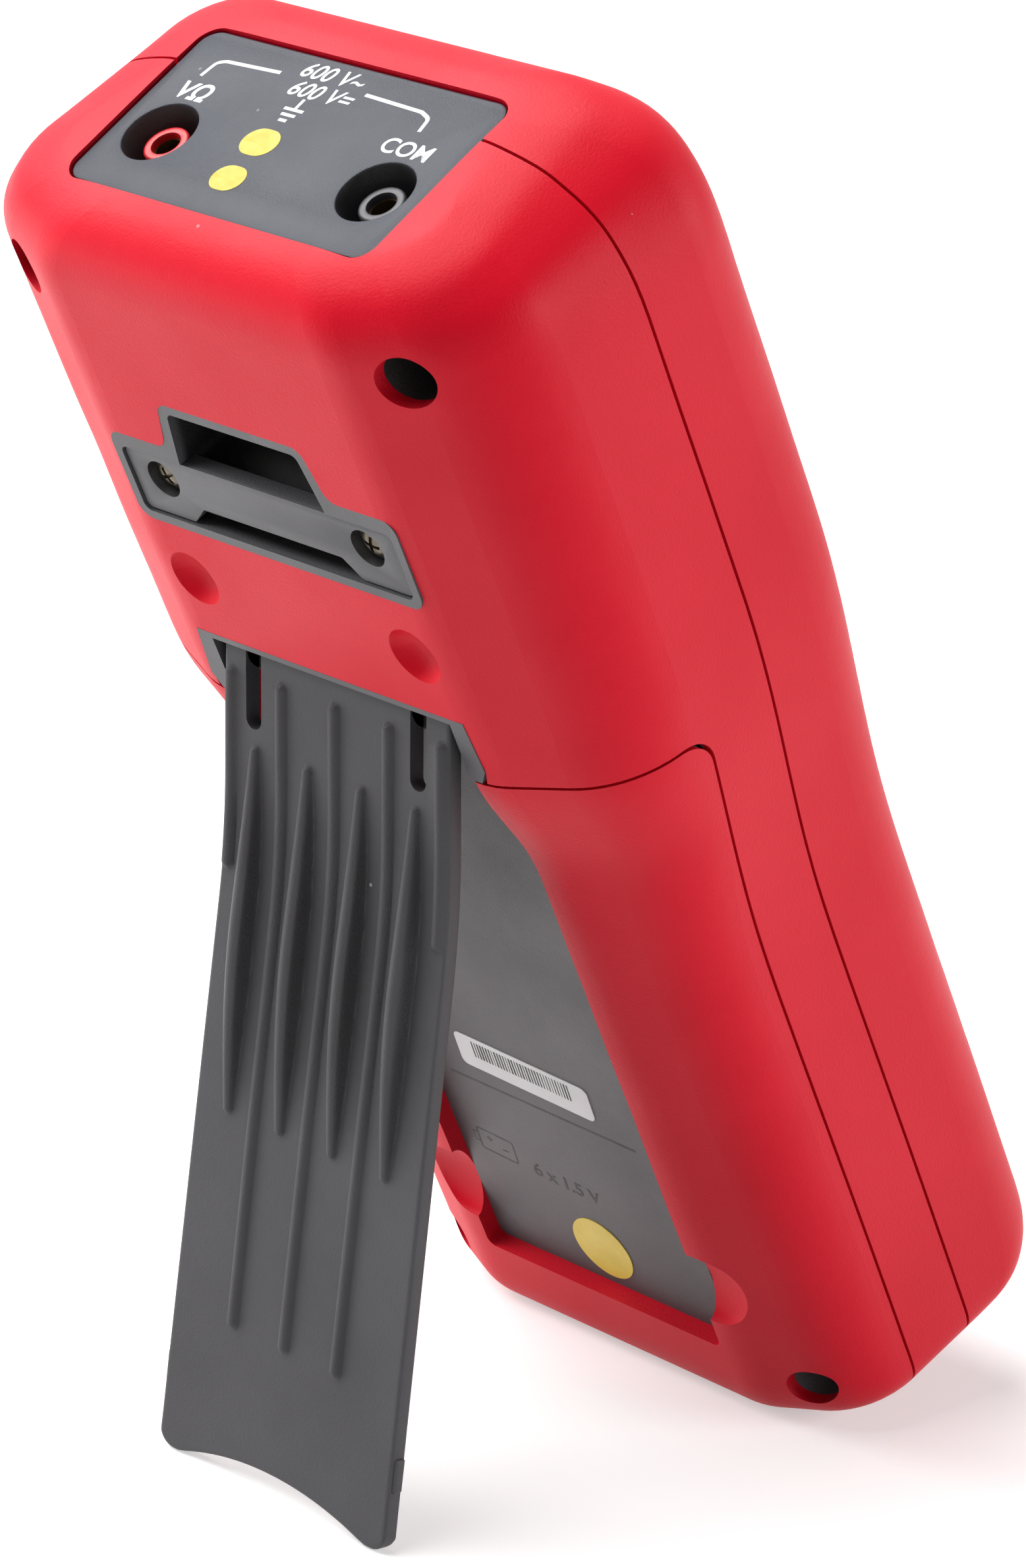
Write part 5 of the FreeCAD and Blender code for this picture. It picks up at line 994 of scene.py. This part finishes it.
def makeGripTree():
    tree, start, end = newShape("knobGrips", {"Count": 40, "Ring": 19.0, "Radius": 0.5, "Tall": 1.6})
    ring = put(tree, "GeometryNodeMeshCircle", {"Vertices": start["Count"], "Radius": start["Ring"]})
    rib = put(tree, "GeometryNodeMeshUVSphere", {"Segments": 10, "Rings": 8, "Radius": 1.0})
    size = xyz(tree, start["Radius"], start["Radius"], reckon(tree, "MULTIPLY", start["Tall"], 0.5))
    spread = put(tree, "GeometryNodeInstanceOnPoints", {"Points": ring, "Instance": rib, "Scale": size})
    return finishShape(tree, end, spread, paints["blackPlasticAndShade"])


def makeKnob():
    r, deck, foot, stem, top = (knob[key] for key in ("radius", "deck", "foot", "stem", "barHigh"))
    body = lathed([(0, foot), (stem, foot), (stem, 0.3), (r - 1.2, 0.3), (r - 0.7, 0.5), (r - 0.6, deck - 0.7),
                   (r - 0.9, deck - 0.2), (r - 1.6, deck), (0, deck)], "blackPlasticAndShade", "knobBody", 96)
    grips = runTree(bpy.data.meshes.new("gripStart"), makeGripTree(), {
        "Count": knob["grips"], "Ring": r - knob["gripIn"], "Radius": knob["gripRadius"], "Tall": knob["gripTall"]})
    grips.transform(Matrix.Translation((0, 0, knob["gripLevel"])))
    bar = softBlock((knob["barWide"], knob["barLong"], top - deck + 0.5), (0, 0, (top + deck - 0.5) / 2),
                    knob["barSoft"], 4, "knobBar", "blackPlasticAndShade", knob["barTop"])
    pointer = plate(roundRing(*knob["pointer"]), top - 0.02, top + 0.05, "printWhite")
    mesh = joined([body, grips, bar, pointer], "selectorKnob")
    mesh.transform(Matrix.Translation((0, knob["place"], 0)))
    newPiece("selectorKnob", settle(mesh, 40, faceFrame), "selector", ["selector_knob"])


def makeDial():
    prints, ticks = [], []
    for number, text in enumerate(dial["places"]):
        turn = math.radians(90 - dial["step"] * number)
        inner, outer, letter = ((math.cos(turn) * reach, knob["place"] + math.sin(turn) * reach)
                                for reach in (dial["tickFrom"], dial["tickTo"], dial["numberRadius"]))
        ticks.append([inner, outer])
        prints.append(lettering(text, dial["letter"], letter, "printWhite", bold=0.02))
    prints.append(printedLines(ticks, dial["tickWide"], "printWhite"))
    newPiece("dialPrints", settle(joined(prints, "dialPrints"), 35, faceFrame), "case")


# Display: four leaning digits of six bars, a point, a V, and the dark mask of the window
display = {"digits": 4, "tall": 16.0, "wide": 8.2, "bar": 1.5, "gap": 0.25, "lean": 0.12, "pitch": 11.6,
           "place": (-20.5, 168.0), "point": 1.3, "pointCorner": 0.4, "pointShift": 5.9, "level": -3.9, "thick": 0.05,
           "unit": ("V", 5.4, (24.0, 162.2)), "maskOuter": (66, 50, 2.5, (0, 169)),
           "maskInner": (57, 39, 2.0, (0, 169)), "maskLevels": (-1.62, -1.52)}


def makeDigits():
    wide, tall, half = display["wide"], display["tall"], display["bar"] / 2
    corners = [(0, tall), (wide, tall), (wide, tall / 2), (wide, 0), (0, 0), (0, tall / 2), (0, tall)]
    left, low = display["place"][0] - wide / 2, display["place"][1] - tall / 2
    rings = []
    for number in range(display["digits"]):
        for (ax, ay), (bx, by) in zip(corners, corners[1:]):
            a, b = (Vector((x + y * display["lean"], y)) for x, y in ((ax, ay), (bx, by)))
            way = (b - a).normalized()
            side = Vector((-way.y, way.x)) * half
            a, b = a + way * display["gap"], b - way * display["gap"]
            ring = [a, a + way * half + side, b - way * half + side, b, b - way * half - side,
                    a + way * half - side]
            rings.append([(left + number * display["pitch"] + p.x, low + p.y) for p in ring])
    rings.append(roundRing(display["point"], display["point"], display["pointCorner"],
                           (display["place"][0] + display["pointShift"], low)))
    shapes = [plate(ring, 0.0, display["thick"], "printDark") for ring in rings]
    shapes.append(lettering(*display["unit"], "printDark", bold=0.05))
    mesh = joined(shapes, "displayDigits")
    mesh.transform(Matrix.Translation((0, 0, display["level"])))
    newPiece("displayDigits", settle(mesh, 35, faceFrame), "case")


def makeWindowMask():
    edit = bmesh.new()
    rings = [[edit.verts.new((x, y, z)) for x, y in roundRing(*display[key])]
             for key in ("maskOuter", "maskInner") for z in display["maskLevels"]]
    for a, b in ((0, 1), (1, 3), (3, 2), (2, 0)):
        for k in range(len(rings[0])):
            following = (k + 1) % len(rings[0])
            edit.faces.new((rings[a][k], rings[a][following], rings[b][following], rings[b][k]))
    newPiece("windowMask", settle(meshFrom(edit, "windowMask", "printDark"), 35, faceFrame), "case")


makeKeys()
makeKnob()
makeDial()
makeDigits()
makeWindowMask()
print("front made")
